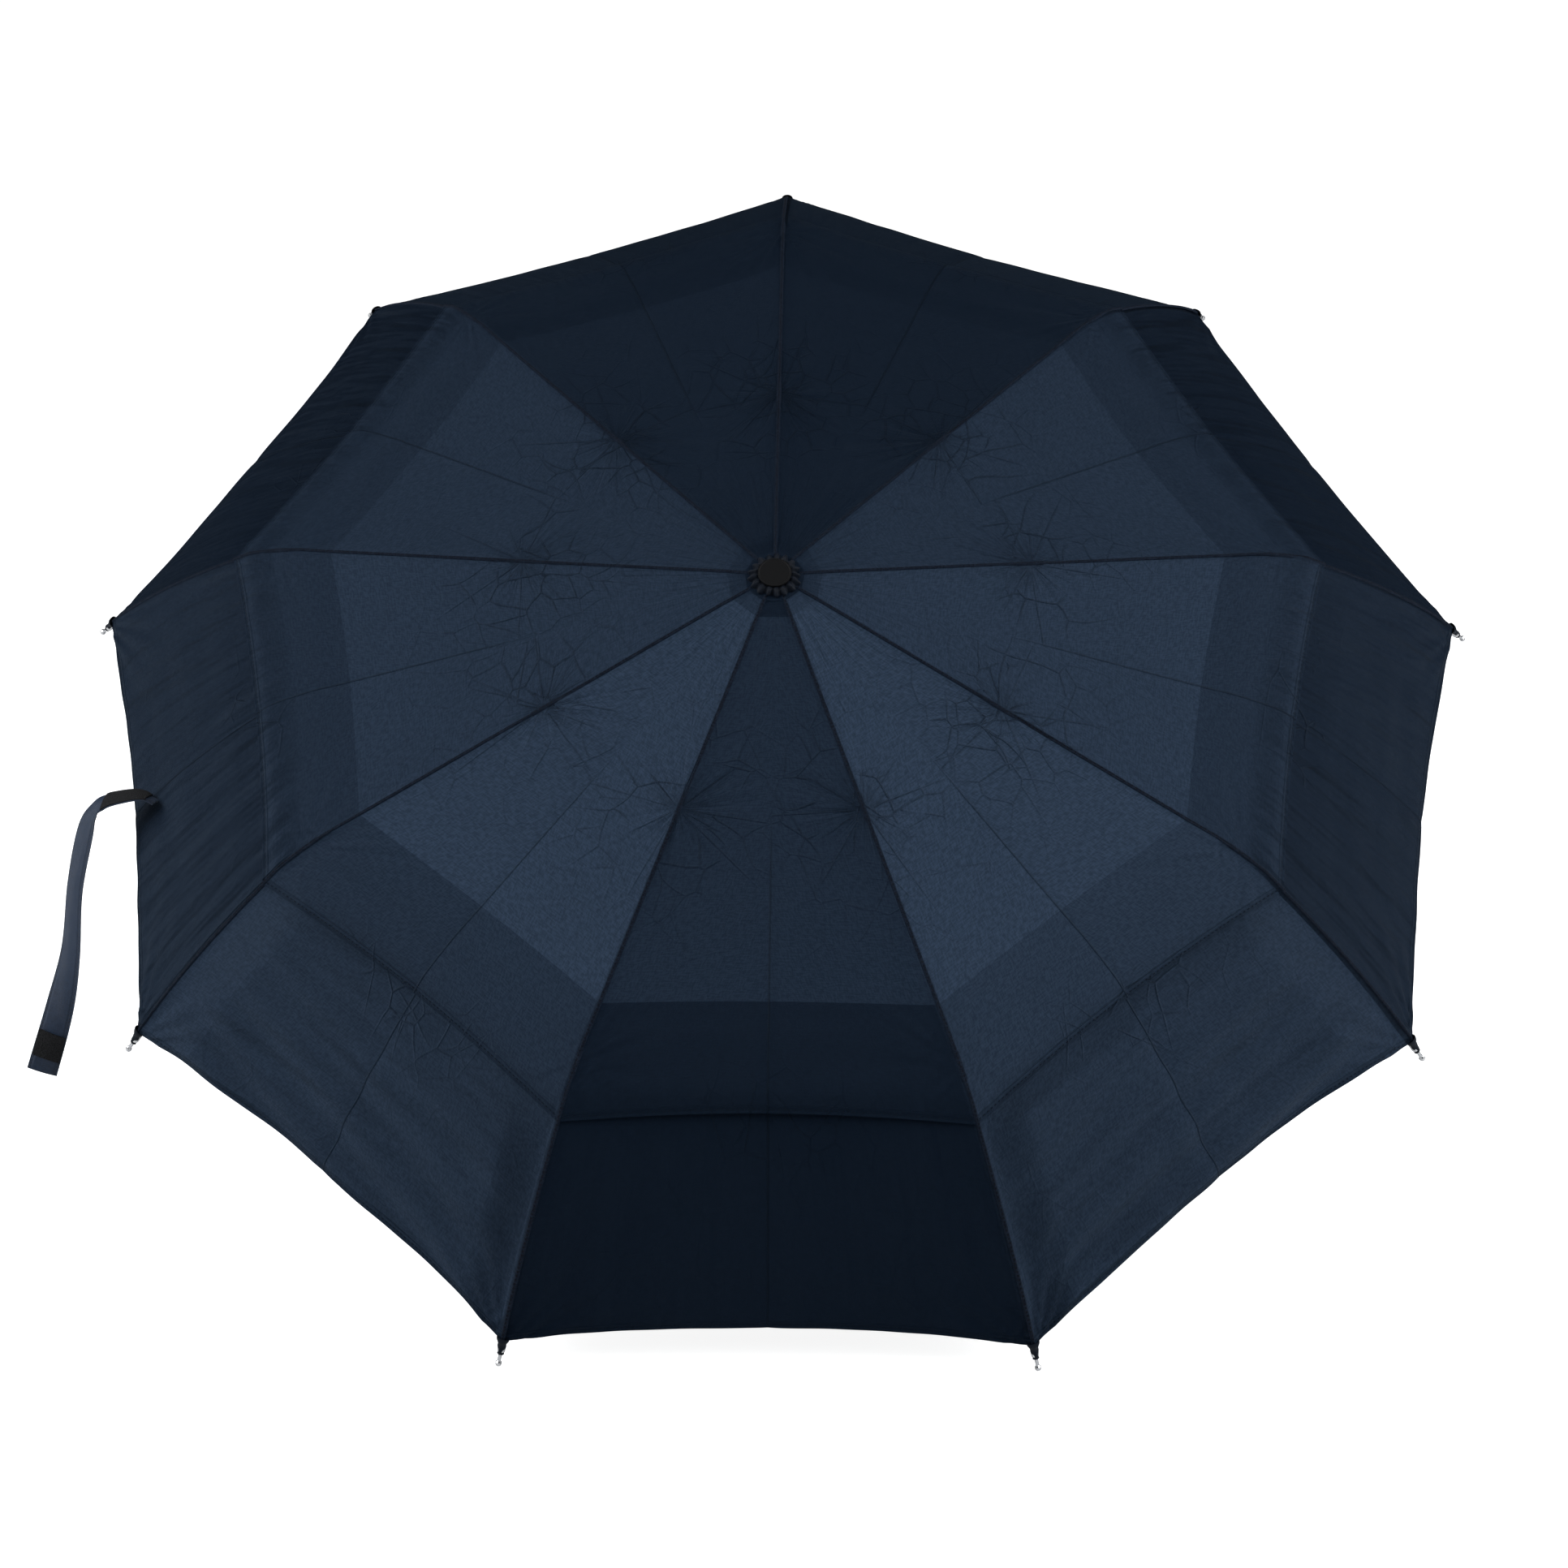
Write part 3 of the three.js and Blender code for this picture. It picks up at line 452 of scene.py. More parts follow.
def makeCanopyCloth():
    look = {k: v for k, v in canopyLook.items() if k[0].isupper()}
    material, graph, shader = startMaterial("canopyCloth", **look)
    flat = graph.uv("clothPlace")  # metres on the flat cloth: across, and down the rib
    plan = graph.uv("planPlace")  # metres seen from above the cap
    knee = graph.uv("kneePlace")
    weave = useGroup(graph, weaveGroup, Vector=flat, Thread=0.0003)
    creased = useGroup(graph, creaseGroup, Vector=plan, Mask=graph.attribute("crinkle"))
    fan = useGroup(graph, fanGroup, Vector=knee, Seed=graph.attribute("kneeTurn"))
    rays = useGroup(graph, rayGroup, Vector=knee, Turn=graph.attribute("kneeTurn"))
    hem = graph.attribute("fromHem")
    stitched = useGroup(graph, stitchGroup, Distance=hem, Inset=0.0026, Along=graph.split(flat)[0])
    fold = graph.oneMinus(graph.ramp(hem, 0.0052, 0.0058))
    pressed = graph.oneMinus(graph.ramp(graph.attribute("fromMiddle"), 0.0, 0.0009))
    pressed = graph.times(pressed, graph.attribute("pressed"))
    lines = graph.math("MAXIMUM", graph.math("MAXIMUM", creased["Line"], pressed), rays["Line"])

    # Painted light and shade: the gore's tone, darker painted shade where the cloth is doubled, mixes the
    # shaded and lit colours; the cloudy noise varies it at random
    backed = graph.ramp(graph.attribute("underlaid"), -0.0002, 0.0002)
    tone = graph.times(graph.attribute("tone"), graph.oneMinus(backed))
    tone = graph.math("MULTIPLY_ADD", graph.attribute("backedPaintedLight"), backed, tone)
    cloudy = graph.noise(plan, 14, 3, 0.6)
    tone = graph.times(tone, graph.math("MULTIPLY_ADD", cloudy, 0.3, 0.85))
    colour = graph.mix(tone, canopyLook["deep"], canopyLook["bright"])
    # Darker thread colour in the weave grain, and painted shade along the pressed creases and knee folds
    for mask, share in ((weave["Grain"], canopyLook["weave"]), (lines, canopyLook["lines"])):
        colour = graph.mix(graph.times(mask, share), colour, canopyLook["thread"])
    # Painted shade on the turned-under hem, where the cloth is doubled
    colour = graph.mix(graph.times(fold, 0.35), colour, canopyLook["deep"])
    colour = graph.mix(stitched["Thread"], colour, canopyLook["thread"])
    graph.link(colour, shader.inputs["Base Color"])

    rough = graph.math("MULTIPLY_ADD", cloudy, 0.14, canopyLook["Roughness"] - 0.07)
    rough = graph.math("MULTIPLY_ADD", weave["Grain"], 0.06, rough)
    graph.link(rough, shader.inputs["Roughness"])

    spoke = graph.attribute("spoke")
    downRib = graph.split(flat)[1]
    soft = graph.bump(graph.noise(plan, 30, 3, 0.55), 0.0016, 0.35)
    for where, perGore, perMetre, detail, roughness, depth, strength in canopyLook["folds"]:
        across = graph.times(spoke, perGore)
        place = graph.combine(across, graph.times(downRib, perMetre))
        folds = graph.times(graph.noise(place, 1.0, detail, roughness), graph.attribute(where))
        soft = graph.bump(folds, depth, strength, soft)
    pleated = graph.bump(fan["Pleats"], 0.0045, 0.9, soft)
    inked = graph.bump(lines, 0.0012, 1.0, pleated)
    sewn = graph.math("SUBTRACT", graph.times(stitched["Thread"], 0.5), stitched["Pucker"])
    sewn = graph.math("ADD", sewn, fold)
    hemmed = graph.bump(sewn, 0.0008, 0.9, inked)
    woven = graph.bump(weave["Height"], 0.00013, 0.8, hemmed)
    graph.link(woven, shader.inputs["Normal"])
    tangent = graph.add("ShaderNodeTangent", direction_type="UV_MAP", uv_map="clothPlace")
    graph.link(tangent.outputs["Tangent"], shader.inputs["Tangent"])
    shader.inputs["Anisotropic Rotation"].default_value = canopyLook["weftTurn"]
    return material


def makeSeamThread():
    material, graph, shader = startMaterial("ribSeam", Specular_IOR_Level=0.12)
    place = graph.uv("seamPlace")
    across, along, _ = graph.split(place)
    dash = graph.math("SINE", graph.times(along, 2 * pi / 0.0028))
    row = graph.oneMinus(graph.ramp(graph.math("ABSOLUTE", across), 0.00015, 0.0005))
    stitch = graph.times(row, graph.ramp(dash, -0.2, 0.2))
    weave = useGroup(graph, weaveGroup, Vector=place, Thread=0.0005)
    colour = graph.mix(weave["Grain"], (0.0035, 0.009, 0.021, 1), (0.0018, 0.005, 0.012, 1))
    colour = graph.mix(stitch, colour, (0.0012, 0.0024, 0.006, 1))
    graph.link(colour, shader.inputs["Base Color"])
    graph.link(graph.math("MULTIPLY_ADD", weave["Grain"], 0.2, 0.75), shader.inputs["Roughness"])
    height = graph.math("SUBTRACT", weave["Height"], graph.times(stitch, 2.0))
    graph.link(graph.bump(height, 0.00025, 0.8), shader.inputs["Normal"])
    return material


def makeRibbonCloth(name, halfWidth, tone, gloss=0.3):
    material, graph, shader = startMaterial(
        name, Specular_IOR_Level=gloss, Anisotropic=0.5, Sheen_Weight=gloss / 5, Sheen_Roughness=0.4
    )
    shader.inputs["Sheen Tint"].default_value = (0.62, 0.76, 1.0, 1)
    place = graph.uv("clothPlace")
    across, along, _ = graph.split(place)
    weave = useGroup(graph, weaveGroup, Vector=place, Thread=0.0005)
    edge = graph.math("SUBTRACT", halfWidth, graph.math("ABSOLUTE", across))
    stitched = useGroup(graph, stitchGroup, Distance=edge, Inset=0.0016, Along=along, Pitch=0.0026)
    grain = graph.times(weave["Grain"], 0.5)
    colour = graph.mix(grain, (0.0075, 0.019, 0.043, 1), (0.003, 0.008, 0.02, 1))
    colour = graph.mix(stitched["Thread"], colour, (0.0025, 0.005, 0.012, 1))
    graph.link(graph.vector("SCALE", colour, tone), shader.inputs["Base Color"])
    graph.link(graph.math("MULTIPLY_ADD", graph.noise(place, 60, 3), 0.2, 0.45), shader.inputs["Roughness"])
    rumpled = graph.bump(graph.noise(place, 45, 2, 0.5), 0.0025, 0.35)
    sewn = graph.math("SUBTRACT", graph.times(stitched["Thread"], 0.5), stitched["Pucker"])
    stitchedNormal = graph.bump(sewn, 0.0005, 0.9, rumpled)
    graph.link(graph.bump(weave["Height"], 0.0001, 0.8, stitchedNormal), shader.inputs["Normal"])
    return material


def makeNappedPatch():
    material, graph, shader = startMaterial("hookAndLoop", Roughness=0.95, Specular_IOR_Level=0.2)
    place = graph.add("ShaderNodeTexCoord").outputs["Object"]
    tufts = graph.add("ShaderNodeTexVoronoi", feature="F1")
    graph.link(place, tufts.inputs["Vector"])
    tufts.inputs["Scale"].default_value = 950
    fuzz = graph.noise(place, 2600, 3, 0.7)
    nap = graph.math("MULTIPLY_ADD", fuzz, 0.6, tufts.outputs["Distance"])
    colour = graph.mix(graph.ramp(nap, 0.3, 0.9), (0.0012, 0.0012, 0.0014, 1), (0.009, 0.0095, 0.011, 1))
    graph.link(colour, shader.inputs["Base Color"])
    graph.link(graph.bump(nap, 0.0007, 1.0), shader.inputs["Normal"])
    return material


def makeHardFinish(
    name, base, worn, roughness, metallic=0.0, grainScale=900.0, grainDepth=0.00006, gloss=0.5
):
    material, graph, shader = startMaterial(name, Metallic=metallic, Specular_IOR_Level=gloss)
    place = graph.add("ShaderNodeTexCoord").outputs["Object"]
    grain = graph.noise(place, grainScale, 3, 0.6)
    smudges = graph.noise(place, 38, 4, 0.6)
    wear = useGroup(graph, wearGroup, Vector=place, From=0.53, To=0.62)
    colour = graph.mix(graph.times(smudges, 0.25), base, tuple(0.6 * c for c in base[:3]) + (1,))
    colour = graph.mix(graph.times(wear["Edge"], 0.7), colour, worn)
    graph.link(colour, shader.inputs["Base Color"])
    rough = graph.math("MULTIPLY_ADD", smudges, 0.22, roughness - 0.11)
    graph.link(graph.math("MULTIPLY_ADD", grain, 0.08, rough, clamp=True), shader.inputs["Roughness"])
    graph.link(graph.bump(grain, grainDepth, 0.8), shader.inputs["Normal"])
    return material


finishes = {
    "canopy": makeCanopyCloth(),
    "seam": makeSeamThread(),
    "ribbon": makeRibbonCloth("strapRibbon", 0.0105, 1.0),
    "gathered": makeRibbonCloth("gatheredCloth", 1.0, 0.22, 0.12),
    "napped": makeNappedPatch(),
}
hardFinishes = {
    "blackPlastic": {"base": (0.0016, 0.0018, 0.0024, 1), "worn": (0.008, 0.008, 0.009, 1), "roughness": 0.6,
                     "gloss": 0.12},
    "gripRubber": {"base": (0.0065, 0.007, 0.008, 1), "worn": (0.02, 0.02, 0.022, 1), "roughness": 0.62,
                   "grainScale": 1600.0, "grainDepth": 0.00012},
    "ribSteel": {"base": (0.04, 0.041, 0.045, 1), "worn": (0.08, 0.08, 0.085, 1), "roughness": 0.45,
                 "metallic": 0.75},
    "ribRod": {"base": (0.012, 0.012, 0.014, 1), "worn": (0.03, 0.03, 0.03, 1), "roughness": 0.42},
    "tubeSteel": {"base": (0.085, 0.087, 0.094, 1), "worn": (0.12, 0.12, 0.13, 1), "roughness": 0.42,
                  "metallic": 0.8},
    "brightSteel": {"base": (0.62, 0.63, 0.65, 1), "worn": (0.8, 0.8, 0.8, 1), "roughness": 0.26,
                    "metallic": 1.0},
}
for name, look in hardFinishes.items():
    finishes[name] = makeHardFinish(name, **look)
print("materials")


canopy = {
    "riseAtRib": 0.0061,  # of the cloth's face above the ribs' centre lines
    "riseAtTip": 0.0036,
    "hingeLift": 0.0026,
    "holeRadius": 0.0055,
    "hubHeight": 0.0051,
    "flatTo": 0.018,
    "upperHem": 0.385,  # down the rib
    "upperBow": 0.005,
    "ventEdge": 0.307,
    "cornerBack": 0.007,
    "rimBow": 0.009,
    "layerDrop": 0.0015,  # of the lower layer under the upper one
    "ventLift": 0.0018,  # of the upper hem between the ribs
    "patch": 0.032,  # radius of the second layer of cloth round the cap
    "sag": 0.005,
    "thickness": 0.0004,
    "rowStep": 0.0034,
    "halfColumns": 36,  # in half a gore
    # share of a strip's width that is left when it is folded
    "foldedWidth": {"inner": 0.12, "middle": 0.07, "outer": 0.045},
}
ribPlan = {
    "inner": {"length": 0.161, "droop": 9.7},
    "middle": {"length": 0.176, "droop": 9.6},
    "outer": {"length": 0.188, "droop": 41.6, "bow": 9.2, "tip": 0.010},
}
crownHinge = onShaft(crownHinges[0])
firstKnee = onShaft(jointPlace("middle_rib_hinge_1"))
secondKnee = onShaft(jointPlace("outer_rib_hinge_1"))
rodEnd = secondKnee + drooped(ribPlan["outer"]["length"], canopy["hingeLift"], ribPlan["outer"]["droop"])
tipBall = rodEnd + drooped(ribPlan["outer"]["tip"], 0, ribPlan["outer"]["droop"] + ribPlan["outer"]["bow"])


def clothCorners():  # points that the cloth's face passes over a rib, as distance out and height
    rib = canopy["riseAtRib"]
    points = [np.array((canopy["holeRadius"], canopy["hubHeight"]))]
    points += [crownHinge + drooped(a, rib, ribPlan["inner"]["droop"]) for a in (0.006, 0.06, 0.11, 0.161)]
    lifted = rib - canopy["hingeLift"]
    points += [firstKnee + drooped(a, lifted, ribPlan["middle"]["droop"]) for a in (0.05, 0.1, 0.14, 0.16)]
    outer = ribPlan["outer"]
    for share in (0.06, 0.15, 0.3, 0.5, 0.7, 0.85, 1):
        bulge = share * (1 - share) * outer["length"] * np.tan(radians(outer["bow"]))
        rise = rib + (canopy["riseAtTip"] - rib) * share
        along = outer["length"] * share + rise * sin(radians(outer["bow"] * (2 * share - 1)))
        points.append(secondKnee + drooped(along, canopy["hingeLift"] + bulge + rise, outer["droop"]))
    return np.array(points)


def smoothLine(points, perSpan=60):  # Catmull-Rom through the points
    padded = np.vstack((points[0], points, points[-1]))
    t = np.linspace(0, 1, perSpan, endpoint=False)[:, None]
    spans = []
    for a, b, c, d in zip(padded[:-3], padded[1:-2], padded[2:-1], padded[3:]):
        m0, m1 = (c - a) / 2, (d - b) / 2
        spans.append((2 * t**3 - 3 * t**2 + 1) * b + (t**3 - 2 * t**2 + t) * m0
                     + (3 * t**2 - 2 * t**3) * c + (t**3 - t**2) * m1)
    return np.vstack((*spans, points[-1:]))


ribLine = smoothLine(clothCorners())
ribLineAt = np.concatenate(([0], np.cumsum(np.linalg.norm(np.diff(ribLine, axis=0), axis=1))))
ribLineAt += canopy["holeRadius"]
clothEnd = ribLineAt[-1]
ribSlope = np.gradient(ribLine, ribLineAt, axis=0)
ribSlope /= np.linalg.norm(ribSlope, axis=1)[:, None]
kneeAt = [float(np.interp(knee[0], ribLine[:, 0], ribLineAt)) for knee in (firstKnee, secondKnee)]
lowerHem = clothEnd - canopy["cornerBack"]


def bell(x, width):
    return np.exp(-((x / width) ** 2))


def smoothStep(x, low, high):
    t = np.clip((x - low) / (high - low), 0, 1)
    return t * t * (3 - 2 * t)


def lineAt(along):
    place = np.stack([np.interp(along, ribLineAt, ribLine[:, k]) for k in (0, 1)], -1)
    slope = np.stack([np.interp(along, ribLineAt, ribSlope[:, k]) for k in (0, 1)], -1)
    return place, slope


def goreFrame(gore):  # unit vectors: out over the middle of the gore, across it clockwise
    a, b = ribOut[gore - 1], ribOut[gore % ribCount]
    out = (a + b).normalized()
    return np.array(out), np.array(out.cross(shaftUp).normalized())


# Folds that are not the same in every gore: how strong, how many, and how they lean
goreMood = np.random.default_rng(41)
goreFolds = [
    {
        "waves": goreMood.uniform(0.6, 1.3),
        "phase": goreMood.uniform(0, 2 * pi),
        "lean": goreMood.uniform(-0.5, 0.5),
        "pleats": goreMood.uniform(0, 2 * pi, 5),
        "pleatCount": goreMood.uniform(5, 10, 5),
        "kneeTurn": goreMood.uniform(0, 2 * pi, 6),
    }
    for _ in ribNumbers
]
# How strong they are in each gore: bands along the rim, folds down to it, ripples and streaks
rimWaves = {1: 0.05, 2: 0.05, 3: 0.08, 4: 1.0, 5: 0.1, 6: 1.0, 7: 0.08, 8: 0.05, 9: 0.05}
rimPleats = {1: 0.08, 2: 0.08, 3: 0.25, 4: 0.2, 5: 0.15, 6: 0.2, 7: 0.2, 8: 0.08, 9: 0.08}
goreRipples = {1: 0.0, 2: 0.1, 3: 0.1, 4: 1.0, 5: 0.1, 6: 1.0, 7: 0.1, 8: 0.1, 9: 0.0}
goreStreaks = {1: 0.3, 2: 0.9, 3: 1.0, 4: 0.0, 5: 0.2, 6: 0.0, 7: 1.0, 8: 0.9, 9: 0.3}
relief = {  # heights in metres
    "ribRidge": 0.0005,
    "pressedFold": 0.0006,
    "softWave": 0.0007,
    "rimWave": 0.0022,
    "rimWaveLength": 0.037,
    "rimPleat": 0.0026,
    "kneePleats": (0.0007, 0.0005),  # at the first knee and at the second
    "tipPleat": 0.0006,
}


def clothRelief(gore, side, along, halfWidth):  # rise and fall of the cloth on top of its plain shape
    mood = goreFolds[gore - 1]
    fromRib = (1 - np.abs(side)) * halfWidth
    fromMiddle = np.abs(side) * halfWidth
    across = side * halfWidth
    height = relief["ribRidge"] * bell(fromRib, 0.0035)
    pressed = smoothStep(along, 0.12, 0.2)
    height -= relief["pressedFold"] * bell(fromMiddle, 0.004) * pressed
    soft = np.sin(31 * across + mood["phase"]) * np.sin(23 * along + 2 * mood["phase"])
    height += relief["softWave"] * soft * smoothStep(along, 0.04, 0.12) * smoothStep(fromRib, 0, 0.02)
    outer = smoothStep(along, kneeAt[1] + 0.02, clothEnd - 0.03)
    leaning = along + mood["lean"] * across
    band = np.sin(2 * pi * leaning / relief["rimWaveLength"] + mood["phase"] + 9 * across**2)
    waves = relief["rimWave"] * rimWaves[gore] * mood["waves"] * band
    height += waves * outer * smoothStep(fromRib, 0.0, 0.06)
    share = across / np.maximum(halfWidth, 1e-4)
    fall = sum(np.sin(c * pi * share + p) for c, p in zip(mood["pleatCount"], mood["pleats"])) / 5
    fall = relief["rimPleat"] * rimPleats[gore] * fall
    height += fall * smoothStep(along, kneeAt[1], clothEnd) * smoothStep(fromRib, 0, 0.03)
    for number, knee in enumerate(kneeAt):
        for rib, sign in ((-1, 1), (1, -1)):
            x = sign * (across - rib * halfWidth)
            y = along - knee
            far = np.hypot(x, y)
            turn = np.arctan2(y, np.maximum(x, 1e-6))
            phase = mood["kneeTurn"][2 * number + (rib + 1) // 2]
            pleat = 0.6 * np.sin(11 * turn + phase) + 0.4 * np.sin(19 * turn + 2.3 * phase)
            height += relief["kneePleats"][number] * pleat * smoothStep(far, 0.003, 0.014) * bell(far, 0.055)
    for rib, sign in ((-1, 1), (1, -1)):  # drawn tight to the rib tips
        x = sign * (across - rib * halfWidth)
        far = np.hypot(x, along - clothEnd)
        turn = np.arctan2(x, np.maximum(clothEnd - along, 1e-6))
        pleat = np.sin(17 * turn + mood["phase"])
        height += relief["tipPleat"] * pleat * smoothStep(far, 0.004, 0.02) * bell(far, 0.07)
    return height * smoothStep(along, 0.018, 0.05)


# Side runs from -1 at the gore's own rib to 1 at the next, and depth is under the face
def clothPoints(gore, side, along, depth, bow=0.0, lift=0.0):
    middle = 1 - side**2
    reached = along - bow * middle
    place, slope = lineAt(reached)
    out = place[..., 0] + slope[..., 1] * depth
    sag = canopy["sag"] * middle * np.sin(np.minimum(out / tipBall[0], 1) * pi * 0.75)
    halfWidth = out * sin(halfGore)
    rise = clothRelief(gore, side, reached, halfWidth) + lift
    outwards = out * cos(halfGore) + (sag - rise) * slope[..., 1]
    height = place[..., 1] - slope[..., 0] * (depth + 0.6 * sag - rise)
    outVector, acrossVector = goreFrame(gore)
    points = (
        np.array(crownMiddle)
        + outwards[..., None] * outVector
        + (side * halfWidth)[..., None] * acrossVector
        + height[..., None] * np.array(shaftUp)
    )
    return points, halfWidth


def gridMesh(name, points, turned=False):
    rows, columns = points.shape[:2]
    index = np.arange(rows * columns).reshape(rows, columns)
    corners = (index[:-1, :-1], index[:-1, 1:], index[1:, 1:], index[1:, :-1])
    faces = np.stack(corners[::-1] if turned else corners, -1).reshape(-1, 4)
    mesh = bpy.data.meshes.new(name)
    mesh.from_pydata(points.reshape(-1, 3).tolist(), [], faces.tolist())
    mesh.update()
    return mesh


def cornerVertices(mesh):
    corners = np.empty(len(mesh.loops), int)
    mesh.loops.foreach_get("vertex_index", corners)
    return corners


def addUv(mesh, name, places):
    layer = mesh.uv_layers.new(name=name)
    corners = cornerVertices(mesh)
    layer.data.foreach_set("uv", places.reshape(-1, 2)[corners].ravel())


def addValue(mesh, name, values):
    mesh.attributes.new(name, "FLOAT", "POINT").data.foreach_set("value", values.ravel())


def makeObject(name, mesh, material):
    piece = bpy.data.objects.new(name, mesh)
    bpy.context.scene.collection.objects.link(piece)
    mesh.materials.append(material)
    mesh.shade_smooth()
    return piece


def makeActive(piece):
    bpy.ops.object.select_all(action="DESELECT")
    piece.select_set(True)
    bpy.context.view_layer.objects.active = piece


def finishWith(piece, kind, **settings):  # adds a modifier and applies it
    makeActive(piece)
    modifier = piece.modifiers.new(kind.title(), kind)
    for key, amount in settings.items():
        setattr(modifier, key, amount)
    bpy.ops.object.modifier_apply(modifier=modifier.name)


def creaseAt(piece, degrees):
    makeActive(piece)
    bpy.ops.object.shade_smooth_by_angle(angle=radians(degrees))


def rowsBetween(start, end):
    count = int(np.ceil((end - start) / canopy["rowStep"]))
    return np.linspace(start, end, count + 1)


# Painted light and shade: each gore's share of the bright colour, lighter on the gores turned to the side
# lamps and darker on the front and back ones; alone, over the lower layer (darker there, painted shade of the
# doubled cloth), and in the lower layer
gorePaintedLight = {
    "single": {1: 0.04, 2: 0.52, 3: 0.76, 4: 1.0, 5: 0.4, 6: 0.95, 7: 0.66, 8: 0.48, 9: 0.09},
    "backed": {1: 0.0, 2: 0.33, 3: 0.46, 4: 0.7, 5: 0.06, 6: 0.52, 7: 0.42, 8: 0.32, 9: 0.01},
    "lower": {1: 0.0, 2: 0.0, 3: 0.14, 4: 0.68, 5: 0.03, 6: 0.66, 7: 0.2, 8: 0.0, 9: 0.0},
}
hems = {
    "upper": {"from": canopy["flatTo"], "at": canopy["upperHem"], "bow": canopy["upperBow"]},
    "lower": {"from": canopy["ventEdge"], "at": lowerHem, "bow": canopy["rimBow"]},
}
foldedHem = {"width": 0.0055, "drop": 0.0009, "steps": 5}


# Places on one layer of the canopy, and half the gore's width there
def layerSurface(layer, gore, side, along, under=0.0):
    hem = hems[layer]
    depth = (canopy["layerDrop"] if layer == "lower" else 0.0) + under
    share = np.clip((along - hem["from"]) / (hem["at"] - hem["from"]), 0, 1) ** 3
    lift = 0.0
    if layer == "upper":
        lift = canopy["ventLift"] * (1 - side**2) * smoothStep(along, hem["at"] - 0.06, hem["at"])
    return clothPoints(gore, side, along, depth, hem["bow"] * share, lift)


def planOf(points):
    offset = points - np.array(crownMiddle)
    return np.stack([offset @ np.array(direction) for direction in (ribOut[0], ribAcross[0])], -1)


def surfaceNormals(layer, gore, side, along, under):
    stepSide, stepAlong = 1e-3, 1e-4
    acrossStep = layerSurface(layer, gore, side + stepSide, along, under)[0]
    acrossStep = acrossStep - layerSurface(layer, gore, side - stepSide, along, under)[0]
    downStep = layerSurface(layer, gore, side, along + stepAlong, under)[0]
    downStep = downStep - layerSurface(layer, gore, side, along - stepAlong, under)[0]
    normals = np.cross(downStep, acrossStep)
    normals /= np.linalg.norm(normals, axis=-1)[..., None]
    return normals * np.sign(normals @ np.array(shaftUp))[..., None]


# Shades a thickened sheet by the normals of the surface it was made from, but not its rim
def shadeAs(piece, normals):
    mesh = piece.data
    corners = cornerVertices(mesh)
    count = len(normals)
    both = np.concatenate((normals, -normals))
    wanted = both[corners]
    faces = (len(mesh.polygons) - rimFaces(mesh, count)) * 4
    wanted[faces:] = 0
    mesh.normals_split_custom_set(wanted.tolist())


def rimFaces(mesh, count):
    corners = cornerVertices(mesh)
    inner = corners.reshape(-1, 4) >= count
    return int((inner.any(1) & ~inner.all(1)).sum())


